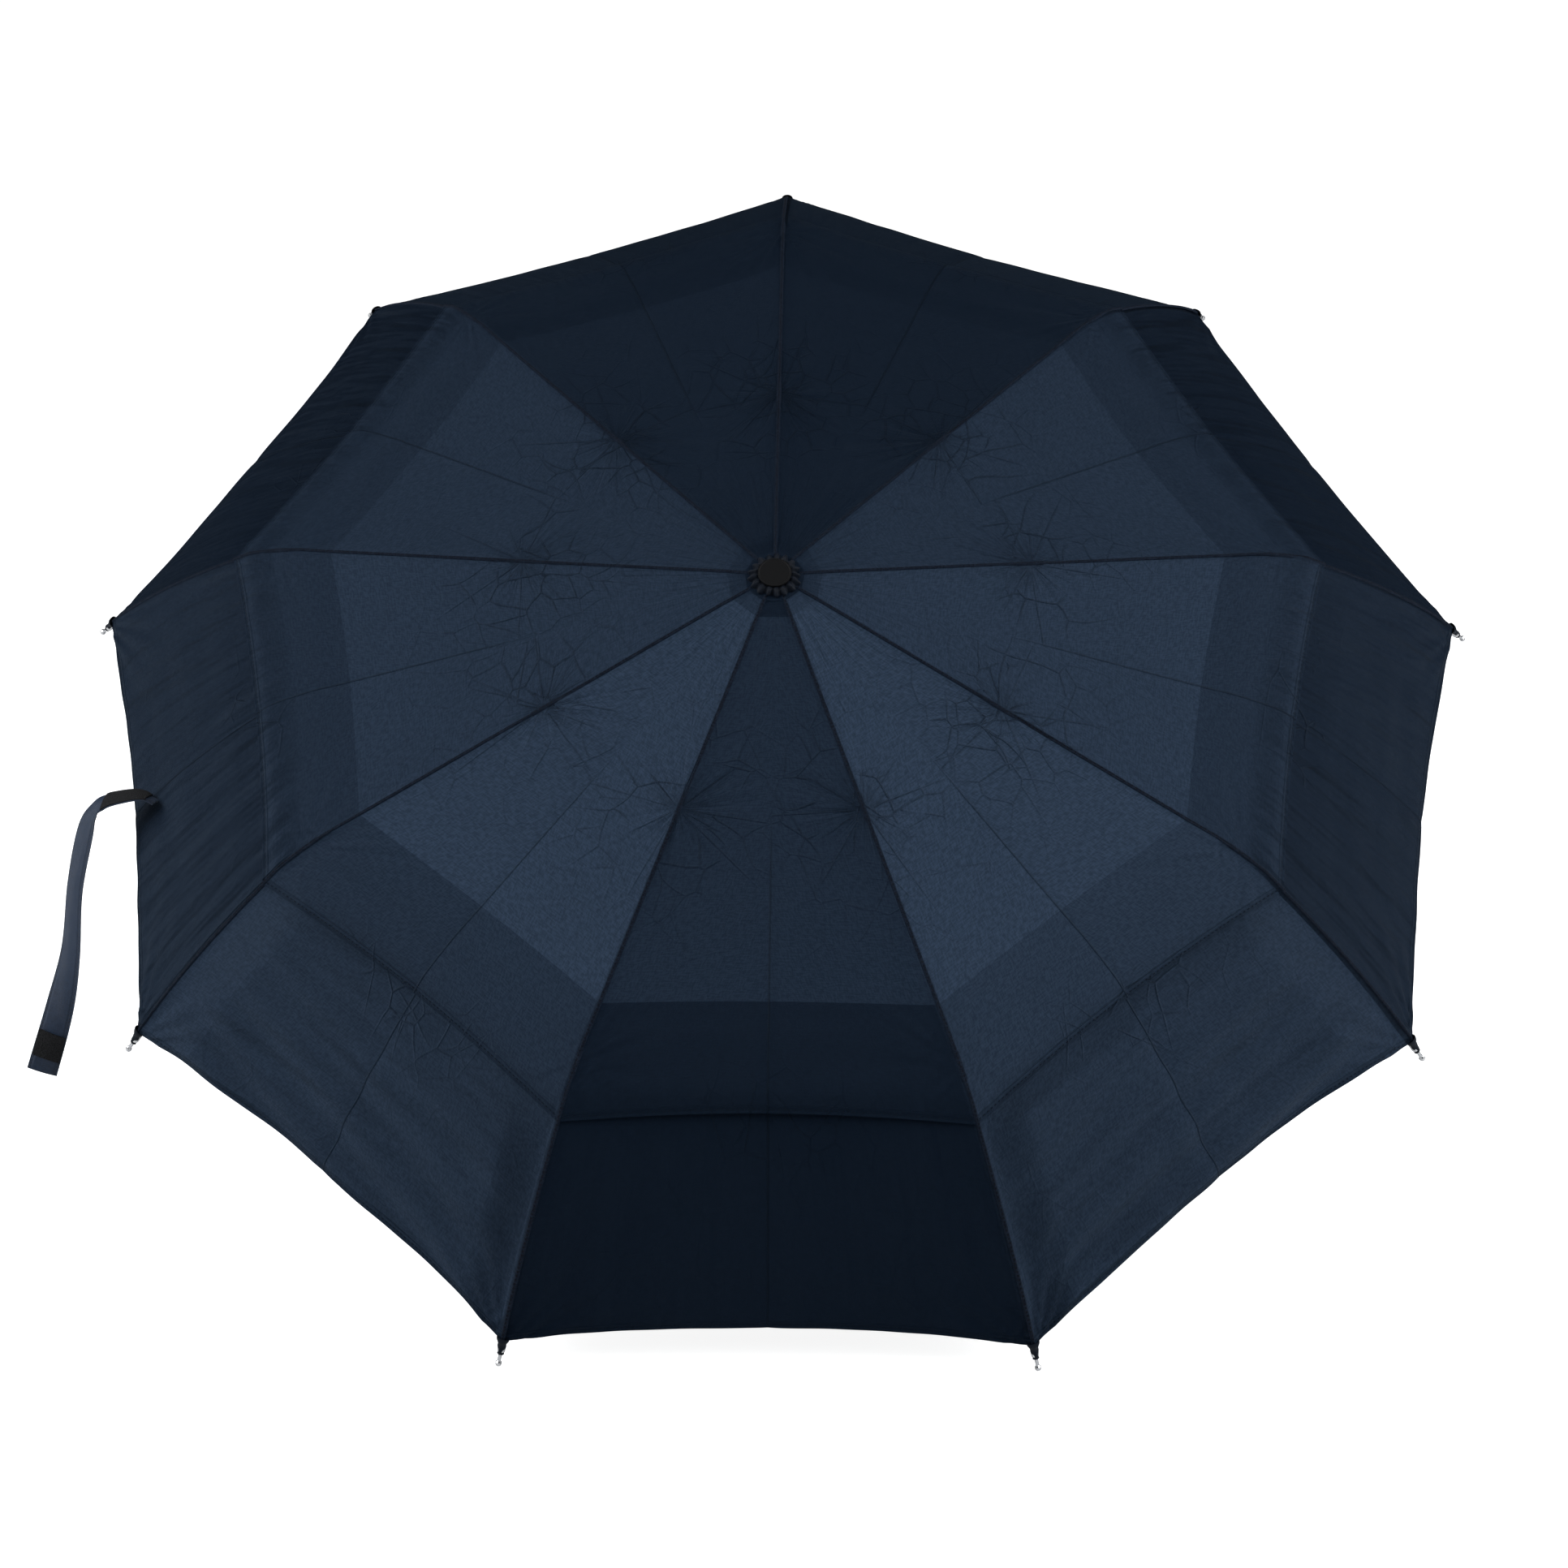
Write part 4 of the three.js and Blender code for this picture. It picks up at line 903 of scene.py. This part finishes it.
# The cloth on both sides of one rib, out to the middles of its gores, between two places down the rib
def clothStrip(rib, layer, section, start, end, body):
    hem = hems[layer]
    before = (rib - 2) % ribCount + 1
    columns = canopy["halfColumns"]
    along = rowsBetween(start, end)
    under = np.zeros_like(along)
    if end == hem["at"]:  # the hem turns under and back
        turned = np.linspace(0, 1, foldedHem["steps"])[1:]
        along = np.concatenate((along, end - foldedHem["width"] * turned**2))
        under = np.concatenate((under, foldedHem["drop"] * np.sqrt(turned)))
    halves, places, facing, paintedLight, spokes, streaked, rippled = ([] for _ in range(7))
    sidesOf = {before: np.linspace(0, 1, columns + 1), rib: np.linspace(-1, 0, columns + 1)[1:]}
    for gore, sides in sidesOf.items():
        side, down = np.meshgrid(sides, along)
        points, halfWidth = layerSurface(layer, gore, side, down, under[:, None])
        halves.append(points)
        facing.append(surfaceNormals(layer, gore, side, down, under[:, None]))
        facing[-1][under > 0] = 0
        # Painted light and shade of each gore: alone, and over the lower layer on the upper cloth
        kinds = ("single", "backed") if layer == "upper" else ("lower", "lower")
        paintedLight.append([np.full_like(down, gorePaintedLight[kind][gore]) for kind in kinds])
        spokes.append(gore + side / 2)
        streaked.append(np.full_like(down, goreStreaks[gore]))
        rippled.append(goreRipples[gore] * smoothStep((1 - np.abs(side)) * halfWidth, 0, 0.04))
        ownRib = side - (1 if gore == before else -1)
        places.append((ownRib * halfWidth, down, np.abs(side) * halfWidth))
    points = np.concatenate(halves, axis=1)
    mesh = gridMesh(f"{layer}_{section}_cloth_{rib}", points)
    across, down, fromMiddle = (np.concatenate(parts, axis=1) for parts in zip(*places))
    fromRim = hem["at"] - down
    fromRim[under > 0] = 0.02
    addUv(mesh, "clothPlace", np.stack((across, down + 0.7 * rib), -1))
    addUv(mesh, "kneePlace", np.stack((across, down - kneeAt[0]), -1))
    addUv(mesh, "planPlace", planOf(points))
    single, backed = (np.concatenate(parts, axis=1) for parts in zip(*paintedLight))
    underlaid = -np.ones_like(down)
    if layer == "upper":
        underlaid = np.maximum(down - canopy["ventEdge"], canopy["patch"] - down)
    crinkle = 0.8 * bell(down - kneeAt[0], 0.075) * smoothStep(fromMiddle, -0.02, 0.03)
    atHem = bell(down - canopy["upperHem"], 0.03) * bell(fromMiddle, 0.05)
    crinkle = np.clip(crinkle + 0.6 * atHem + 0.12 * smoothStep(down, kneeAt[1], kneeAt[1] + 0.05), 0, 1)
    # The first two values are each gore's painted light and shade, alone and where the lower layer lies under
    # it
    values = {
        "tone": single,
        "backedPaintedLight": backed,
        "underlaid": underlaid,
        "crinkle": crinkle,
        "kneeTurn": np.full_like(down, np.sin(2.4 * rib) * 2),
        "fromMiddle": fromMiddle,
        "pressed": 0.8 * smoothStep(down, 0.15, 0.22),
        "spoke": np.concatenate(spokes, axis=1),
        "drawn": smoothStep(down, 0.02, 0.04) * (1 - smoothStep(down, 0.06, 0.15)),
        "streaked": smoothStep(down, kneeAt[1], kneeAt[1] + 0.03) * np.concatenate(streaked, axis=1),
        "rippled": smoothStep(down, kneeAt[1] + 0.02, kneeAt[1] + 0.07) * np.concatenate(rippled, axis=1),
        "fromHem": fromRim,
    }
    for name, amounts in values.items():
        addValue(mesh, name, amounts)
    piece = makeObject(mesh.name, mesh, finishes["canopy"])
    finishWith(piece, "SOLIDIFY", thickness=canopy["thickness"], offset=-1)
    shadeAs(piece, np.concatenate(facing, axis=1).reshape(-1, 3))
    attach(piece, body)
    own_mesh(piece)
    return piece


hub = {"overlap": 0.002, "rows": 7, "perGore": 8, "raised": 0.0003, "around": 0.11}


def makeHub():  # the cloth round the shaft, under the cap
    along = np.linspace(canopy["holeRadius"], canopy["flatTo"] + hub["overlap"], hub["rows"])
    rings = []
    for gore in ribNumbers:
        side, down = np.meshgrid(np.linspace(-1, 1, hub["perGore"] + 1)[:-1], along)
        rings.append(clothPoints(gore, side, down, -hub["raised"])[0])
    ring = np.concatenate(rings, axis=1)
    mesh = gridMesh("hub_cloth", np.concatenate((ring, ring[:, :1]), axis=1))
    turns = np.linspace(0, hub["around"], ring.shape[1] + 1)
    addUv(mesh, "clothPlace", np.stack(np.meshgrid(turns, along), -1))
    addUv(mesh, "kneePlace", np.full((len(along), len(turns), 2), 1.0))
    addUv(mesh, "planPlace", planOf(np.concatenate((ring, ring[:, :1]), axis=1)))
    # A low share of the lit colour: the cloth round the shaft in painted shade
    values = {"tone": 0.1, "backedPaintedLight": 0.1, "underlaid": 1.0, "fromMiddle": 1.0, "fromHem": 1.0}
    for name, amount in values.items():
        addValue(mesh, name, np.full(len(mesh.vertices), amount))
    piece = makeObject("hub_cloth", mesh, finishes["canopy"])
    finishWith(piece, "WELD", merge_threshold=1e-6)
    finishWith(piece, "SOLIDIFY", thickness=canopy["thickness"], offset=-1)
    creaseAt(piece, 50)
    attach(piece, "upper_shaft")


def ribBodies(rib):
    return [f"{part}_rib_{rib}" for part in ("inner", "middle", "outer")]


def makeCanopy():
    strips = []
    for rib in ribNumbers:
        inner, middle, outer = ribBodies(rib)
        strips += [
            clothStrip(rib, "upper", "inner", canopy["flatTo"], kneeAt[0], inner),
            clothStrip(rib, "upper", "middle", kneeAt[0], kneeAt[1], middle),
            clothStrip(rib, "upper", "outer", kneeAt[1], canopy["upperHem"], outer),
            clothStrip(rib, "lower", "middle", canopy["ventEdge"], kneeAt[1], middle),
            clothStrip(rib, "lower", "outer", kneeAt[1], lowerHem, outer),
        ]
    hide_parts("upper_canopy")
    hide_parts("lower_canopy")
    makeHub()
    print("canopy cloth,", len(strips), "strips")


makeCanopy()


welt = {
    "halfWidth": 0.0014,
    "height": 0.0006,
    "thickness": 0.0003,
    "wider": 1.25,  # where it covers a knee
    "columns": 8,
    "step": 0.0024,
    "from": 0.016,
    "overlap": 0.009,
    "tuck": 0.004,  # under the upper hem
}


def weltPoints(rib, layer, along, halfWidth, height):
    before = (rib - 2) % ribCount + 1
    rows = []
    offsets = np.linspace(-1, 1, welt["columns"] + 1)
    place, _ = lineAt(along)
    for offset in offsets:
        gore, sign = (before, 1) if offset < 0 else (rib, -1)
        side = sign * (1 - abs(offset) * halfWidth / (place[:, 0] * sin(halfGore)))
        points, _ = layerSurface(layer, gore, side, along, -0.00005 - height * (1 - offset**2) ** 0.5)
        rows.append(points)
    return np.stack(rows, axis=1), offsets * halfWidth


def makeWelt(rib, layer, section, start, end, body, cover=None):
    count = int(np.ceil((end - start) / welt["step"]))
    along = np.linspace(start, end, count + 1)
    wider = welt["wider"] if cover else 1.0
    points, offsets = weltPoints(rib, layer, along, welt["halfWidth"] * wider, welt["height"] * wider)
    mesh = gridMesh(f"{layer}_{section}_seam_{rib}", points)
    addUv(mesh, "seamPlace", np.stack(np.meshgrid(offsets, along), -1))
    piece = makeObject(mesh.name, mesh, finishes["seam"])
    finishWith(piece, "SOLIDIFY", thickness=welt["thickness"], offset=-1)
    creaseAt(piece, 60)
    if cover:
        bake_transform(piece)
    else:
        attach(piece, body)


def makeSeams():
    gap = welt["overlap"]
    for rib in ribNumbers:
        inner, middle, outer = ribBodies(rib)
        makeWelt(rib, "upper", "inner", welt["from"], kneeAt[0] - gap, inner)
        makeWelt(rib, "upper", "first_knee", kneeAt[0] - gap, kneeAt[0] + gap, inner, middle)
        makeWelt(rib, "upper", "middle", kneeAt[0] + gap, kneeAt[1] - gap, middle)
        makeWelt(rib, "upper", "second_knee", kneeAt[1] - gap, kneeAt[1] + gap, middle, outer)
        makeWelt(rib, "upper", "outer", kneeAt[1] + gap, canopy["upperHem"], outer)
        makeWelt(rib, "lower", "outer", canopy["upperHem"] - welt["tuck"], lowerHem, outer)
    print("rib seams")


makeSeams()


corner = {"from": 0.006, "wide": 0.0042, "narrow": 0.0019, "turns": 20, "rows": 12, "past": 0.003}


def makeCorner(rib):  # the corner of the cloth, drawn round the socket of a rib tip and bound with thread
    place, _ = lineAt(np.array([lowerHem - corner["from"]]))
    rod = np.array((rodEnd - drooped(0.006, 0, ribPlan["outer"]["droop"] + ribPlan["outer"]["bow"])))
    tip = (tipBall - rodEnd) / np.linalg.norm(tipBall - rodEnd)
    end = rodEnd + tip * corner["past"]
    start = (place[0] + rod) / 2
    out, across = np.array(ribOut[rib - 1]), np.array(ribAcross[rib - 1])
    flatNormal = np.array((-tip[1], tip[0]))
    if flatNormal[1] < 0:
        flatNormal = -flatNormal
    turns = np.linspace(0, 2 * pi, corner["turns"], endpoint=False)
    rings = []
    for share in np.linspace(0, 1, corner["rows"]):
        centre = start + (end - start) * share
        wide = corner["narrow"] + (corner["wide"] - corner["narrow"]) * (1 - share) ** 1.6
        deep = corner["narrow"] + 0.0008 * (1 - share) + 0.0004 * sin(9 * share)
        wide += 0.0003 * sin(14 * share)
        ripple = 1 + 0.05 * np.sin(6 * turns) * share
        lifted = centre[None] + (deep * np.sin(turns) * ripple)[:, None] * flatNormal
        ring = (
            np.array(crownMiddle)
            + lifted[:, :1] * out
            + lifted[:, 1:] * np.array(shaftUp)
            + (wide * np.cos(turns) * ripple)[:, None] * across
        )
        rings.append(np.vstack((ring, ring[:1])))
    points = np.stack(rings)
    mesh = gridMesh(f"sewn_corner_{rib}", points)
    around = np.linspace(0, 0.016, corner["turns"] + 1)
    addUv(mesh, "clothPlace", np.stack(np.meshgrid(around, np.linspace(0, 0.015, corner["rows"])), -1))
    piece = makeObject(mesh.name, mesh, finishes["gathered"])
    finishWith(piece, "WELD", merge_threshold=1e-6)
    finishWith(piece, "SOLIDIFY", thickness=0.0003, offset=1)
    creaseAt(piece, 60)
    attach(piece, f"outer_rib_{rib}")


for rib in ribNumbers:
    makeCorner(rib)
print("sewn corners")


rosette = {"pleats": 17, "inner": 0.0085, "outer": 0.0165, "rise": 0.0052, "steps": 14, "perPleat": 16}


def makeRosette():
    columns = rosette["pleats"] * rosette["perPleat"]
    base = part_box("top_cap")[0]
    turns = np.linspace(0, 2 * pi, columns, endpoint=False)
    shares = np.linspace(0, 1, rosette["steps"])
    turn, share = np.meshgrid(turns, shares)
    wobble = 0.06 * np.sin(3 * turn + 1) + 0.05 * np.sin(7 * turn)
    pleat = np.sin(rosette["pleats"] * turn + 0.5 * np.sin(4 * turn))
    out = rosette["inner"] + (rosette["outer"] - rosette["inner"]) * share * (1 + wobble)
    out += 0.0009 * pleat * share
    puff = np.sin(pi * np.clip(share * 0.92 + 0.08, 0, 1)) ** 0.8
    height = 0.0008 + rosette["rise"] * 0.62 * puff + 0.0011 * pleat * share**0.6
    height = np.maximum(height, 0.0004 + 0.0003 * pleat)
    place = np.array(crownMiddle) + (canopy["hubHeight"] + 0.0002 - 0.05 * out)[..., None] * np.array(shaftUp)
    first = np.array(ribOut[0])
    second = np.array(ribAcross[0])
    points = place + (out * np.cos(turn))[..., None] * first + (out * np.sin(turn))[..., None] * second
    points = points + height[..., None] * np.array(shaftUp)
    mesh = gridMesh("gathered_cloth", np.concatenate((points, points[:, :1]), axis=1))
    along = np.linspace(0, 2 * pi * 0.0165, columns + 1)
    addUv(mesh, "clothPlace", np.stack(np.meshgrid(along, shares * 0.011), -1))
    piece = makeObject("gathered_cloth", mesh, finishes["gathered"])
    finishWith(piece, "WELD", merge_threshold=1e-6)
    finishWith(piece, "SOLIDIFY", thickness=0.0003, offset=-1)
    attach(piece, "upper_shaft")
    print("rosette over", round(base.z, 3))


makeRosette()

cap = {
    "radius": 0.0109,
    "thickness": 0.0021,
    "sides": 72,
    "insets": [(0.0009, 0), (0.0002, -0.0003), (0.003, 0.00015), (0.003, 0.0001)],  # in from the edge, and up
}


# Edit mode on one piece, with just the faces that pass the test selected
def onlySelect(piece, faces):
    makeActive(piece)
    bpy.ops.object.mode_set(mode="EDIT")
    bpy.ops.mesh.select_mode(type="FACE")
    bpy.ops.mesh.select_all(action="DESELECT")
    bpy.ops.object.mode_set(mode="OBJECT")
    for face in piece.data.polygons:
        face.select = faces(face)
    bpy.ops.object.mode_set(mode="EDIT")


def makeCap():
    low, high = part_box("top_cap")
    middle = (low + high) / 2 + shaftUp * 0.0002
    turned = shaftUp.to_track_quat("Z", "Y").to_euler()
    bpy.ops.object.select_all(action="DESELECT")
    bpy.ops.mesh.primitive_cylinder_add(
        vertices=cap["sides"], radius=cap["radius"], depth=cap["thickness"], location=middle, rotation=turned
    )
    piece = bpy.context.object
    piece.name = "domed_cap"
    bpy.ops.object.transform_apply()
    onlySelect(piece, lambda face: face.normal.dot(shaftUp) > 0.9)
    for inwards, upwards in cap["insets"]:
        bpy.ops.mesh.inset(thickness=inwards, depth=upwards)
    bpy.ops.object.mode_set(mode="OBJECT")
    finishWith(piece, "BEVEL", width=0.0004, segments=3, limit_method="ANGLE", angle_limit=radians(40))
    creaseAt(piece, 35)
    piece.data.materials.append(finishes["blackPlastic"])
    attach(piece, "upper_shaft")
    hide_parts("top_cap")
    print("cap")


makeCap()


closingStrap = {
    "width": 0.021,
    "thickness": 0.0007,
    "fromBend": (0.0435, -0.008, 0.008),  # to where it is sewn on
    "gathered": 0.7,  # share of its width at the sewn end
    "hang": 0.194,
    "lean": 0.051,
    "arch": [(0, 0), (0.16, 0.07), (0.35, 0.08), (0.6, 0.03), (0.82, -0.05)],
    "archTurn": 22,
    "fall": [(0, 0, 22), (0.15, 0.08, 38), (0.35, 0.29, 42), (0.48, 0.54, 47), (0.69, 0.755, 75), (1, 1, 90)],
    "padFromEnd": 0.011,
    "padLength": 0.020,
    "columns": 10,
    "step": 0.0022,
    "curl": 0.0009,
    "bendReach": 0.008,  # on both sides of the bend
    "hookFrom": 0.006,
    "hookToBend": 0.009,
    "patchInset": 0.0015,
    "patchThickness": 0.0010,
    "patchGap": 0.0005,
}


def strapPath():
    bend = jointPlace("strap_swing")
    reach, across, drop = closingStrap["fromBend"]
    sewn = bend + Vector((reach, across, drop))
    points = [
        (*(sewn + Vector((-out * reach, -out * across, up * reach))), closingStrap["archTurn"])
        for out, up in closingStrap["arch"]
    ]
    for out, down, turn in closingStrap["fall"]:
        place = bend + Vector((-out * closingStrap["lean"], 0, -down * closingStrap["hang"]))
        points.append((*place, turn))
    line = smoothLine(np.array(points), 30)
    at = np.concatenate(([0], np.cumsum(np.linalg.norm(np.diff(line[:, :3], axis=0), axis=1))))
    return line, at, bend


def ribbonMesh(name, start, end, width, offset, ripple=0.0):
    line, at, _ = strapPath()
    along = np.linspace(start, end, int(np.ceil((end - start) / closingStrap["step"])) + 1)
    centre = np.stack([np.interp(along, at, line[:, k]) for k in range(3)], -1)
    turn = np.radians(np.interp(along, at, line[:, 3]))
    apart = at + 1e-9 * np.arange(len(at))  # so that no two points lie at one place
    slopes = [np.gradient(line[:, k], apart) for k in range(3)]
    course = np.stack([np.interp(along, at, slope) for slope in slopes], -1)
    course /= np.linalg.norm(course, axis=1)[:, None]
    across = np.stack((np.sin(turn), -np.cos(turn), np.zeros_like(turn)), -1)
    across -= (across * course).sum(1)[:, None] * course
    across /= np.linalg.norm(across, axis=1)[:, None]
    face = np.cross(course, across)
    sides = np.linspace(-1, 1, closingStrap["columns"] + 1)
    gathered = closingStrap["gathered"] + (1 - closingStrap["gathered"]) * smoothStep(along, 0, 0.010)
    half = width / 2 * gathered
    pleats = 0.0011 * np.cos(3 * pi * sides) * (1 - smoothStep(along, 0.0, 0.012))[:, None]
    curl = closingStrap["curl"] * (1 - sides**2) + ripple * np.sin(70 * along)[:, None] * sides
    level = offset + curl + pleats
    points = centre[:, None] + (half[:, None] * sides)[..., None] * across[:, None]
    points = points + level[..., None] * face[:, None]
    mesh = gridMesh(name, points, turned=True)
    addUv(mesh, "clothPlace", np.stack(np.meshgrid(sides * width / 2, along), -1))
    return mesh, end - start


def makeStrap():
    line, at, bend = strapPath()
    total = float(at[-1])
    bendAt = float(at[np.argmin(np.linalg.norm(line[:, :3] - np.array(bend), axis=1))])
    mesh, length = ribbonMesh("strap_ribbon", 0, total, closingStrap["width"], 0, 0.0003)
    ribbon = makeObject("strap_ribbon", mesh, finishes["ribbon"])
    finishWith(ribbon, "SOLIDIFY", thickness=closingStrap["thickness"], offset=0)
    creaseAt(ribbon, 60)
    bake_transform(ribbon)
    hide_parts("closing_strap")
    above = closingStrap["thickness"] / 2 + closingStrap["patchGap"]
    padEnd = total - closingStrap["padFromEnd"]
    hookEnd = bendAt - closingStrap["hookToBend"]
    patchWidth = closingStrap["width"] - closingStrap["patchInset"]
    patches = (
        ("hook_nap", closingStrap["hookFrom"], hookEnd, "strap_root", "strap_hook_patch"),
        ("loop_nap", padEnd - closingStrap["padLength"], padEnd, "strap", "strap_loop_patch"),
    )
    for name, start, end, body, node in patches:
        mesh, length = ribbonMesh(name, start, end, patchWidth, above)
        patch = makeObject(name, mesh, finishes["napped"])
        finishWith(patch, "SOLIDIFY", thickness=closingStrap["patchThickness"], offset=0)
        creaseAt(patch, 60)
        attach(patch, body)
        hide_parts(node)
    print("strap,", round(total, 3), "m long, bends at", round(bendAt, 3))


makeStrap()


nodeFinish = {
    "handle": "gripRubber", "push_button": "blackPlastic", "handle_end_cap": "blackPlastic",
    "lower_tube": "tubeSteel", "middle_tube": "tubeSteel", "upper_tube": "tubeSteel",
    "crown": "blackPlastic", "top_cap": "blackPlastic", "runner": "blackPlastic",
    "closing_spring": "brightSteel", "strap_hook_patch": "napped", "closing_strap": "ribbon",
    "strap_loop_patch": "napped",
}
for n in ribNumbers:
    nodeFinish[f"inner_rib_{n}"] = "ribSteel"
    nodeFinish[f"middle_rib_{n}"] = "ribSteel"
    nodeFinish[f"stretcher_{n}"] = "ribSteel"
    nodeFinish[f"outer_rib_{n}"] = "ribRod"
    nodeFinish[f"rib_tip_{n}"] = "brightSteel"
for node, finish in nodeFinish.items():
    mesh = frame["nodes"][node].data
    mesh.materials.clear()
    mesh.materials.append(finishes[finish])
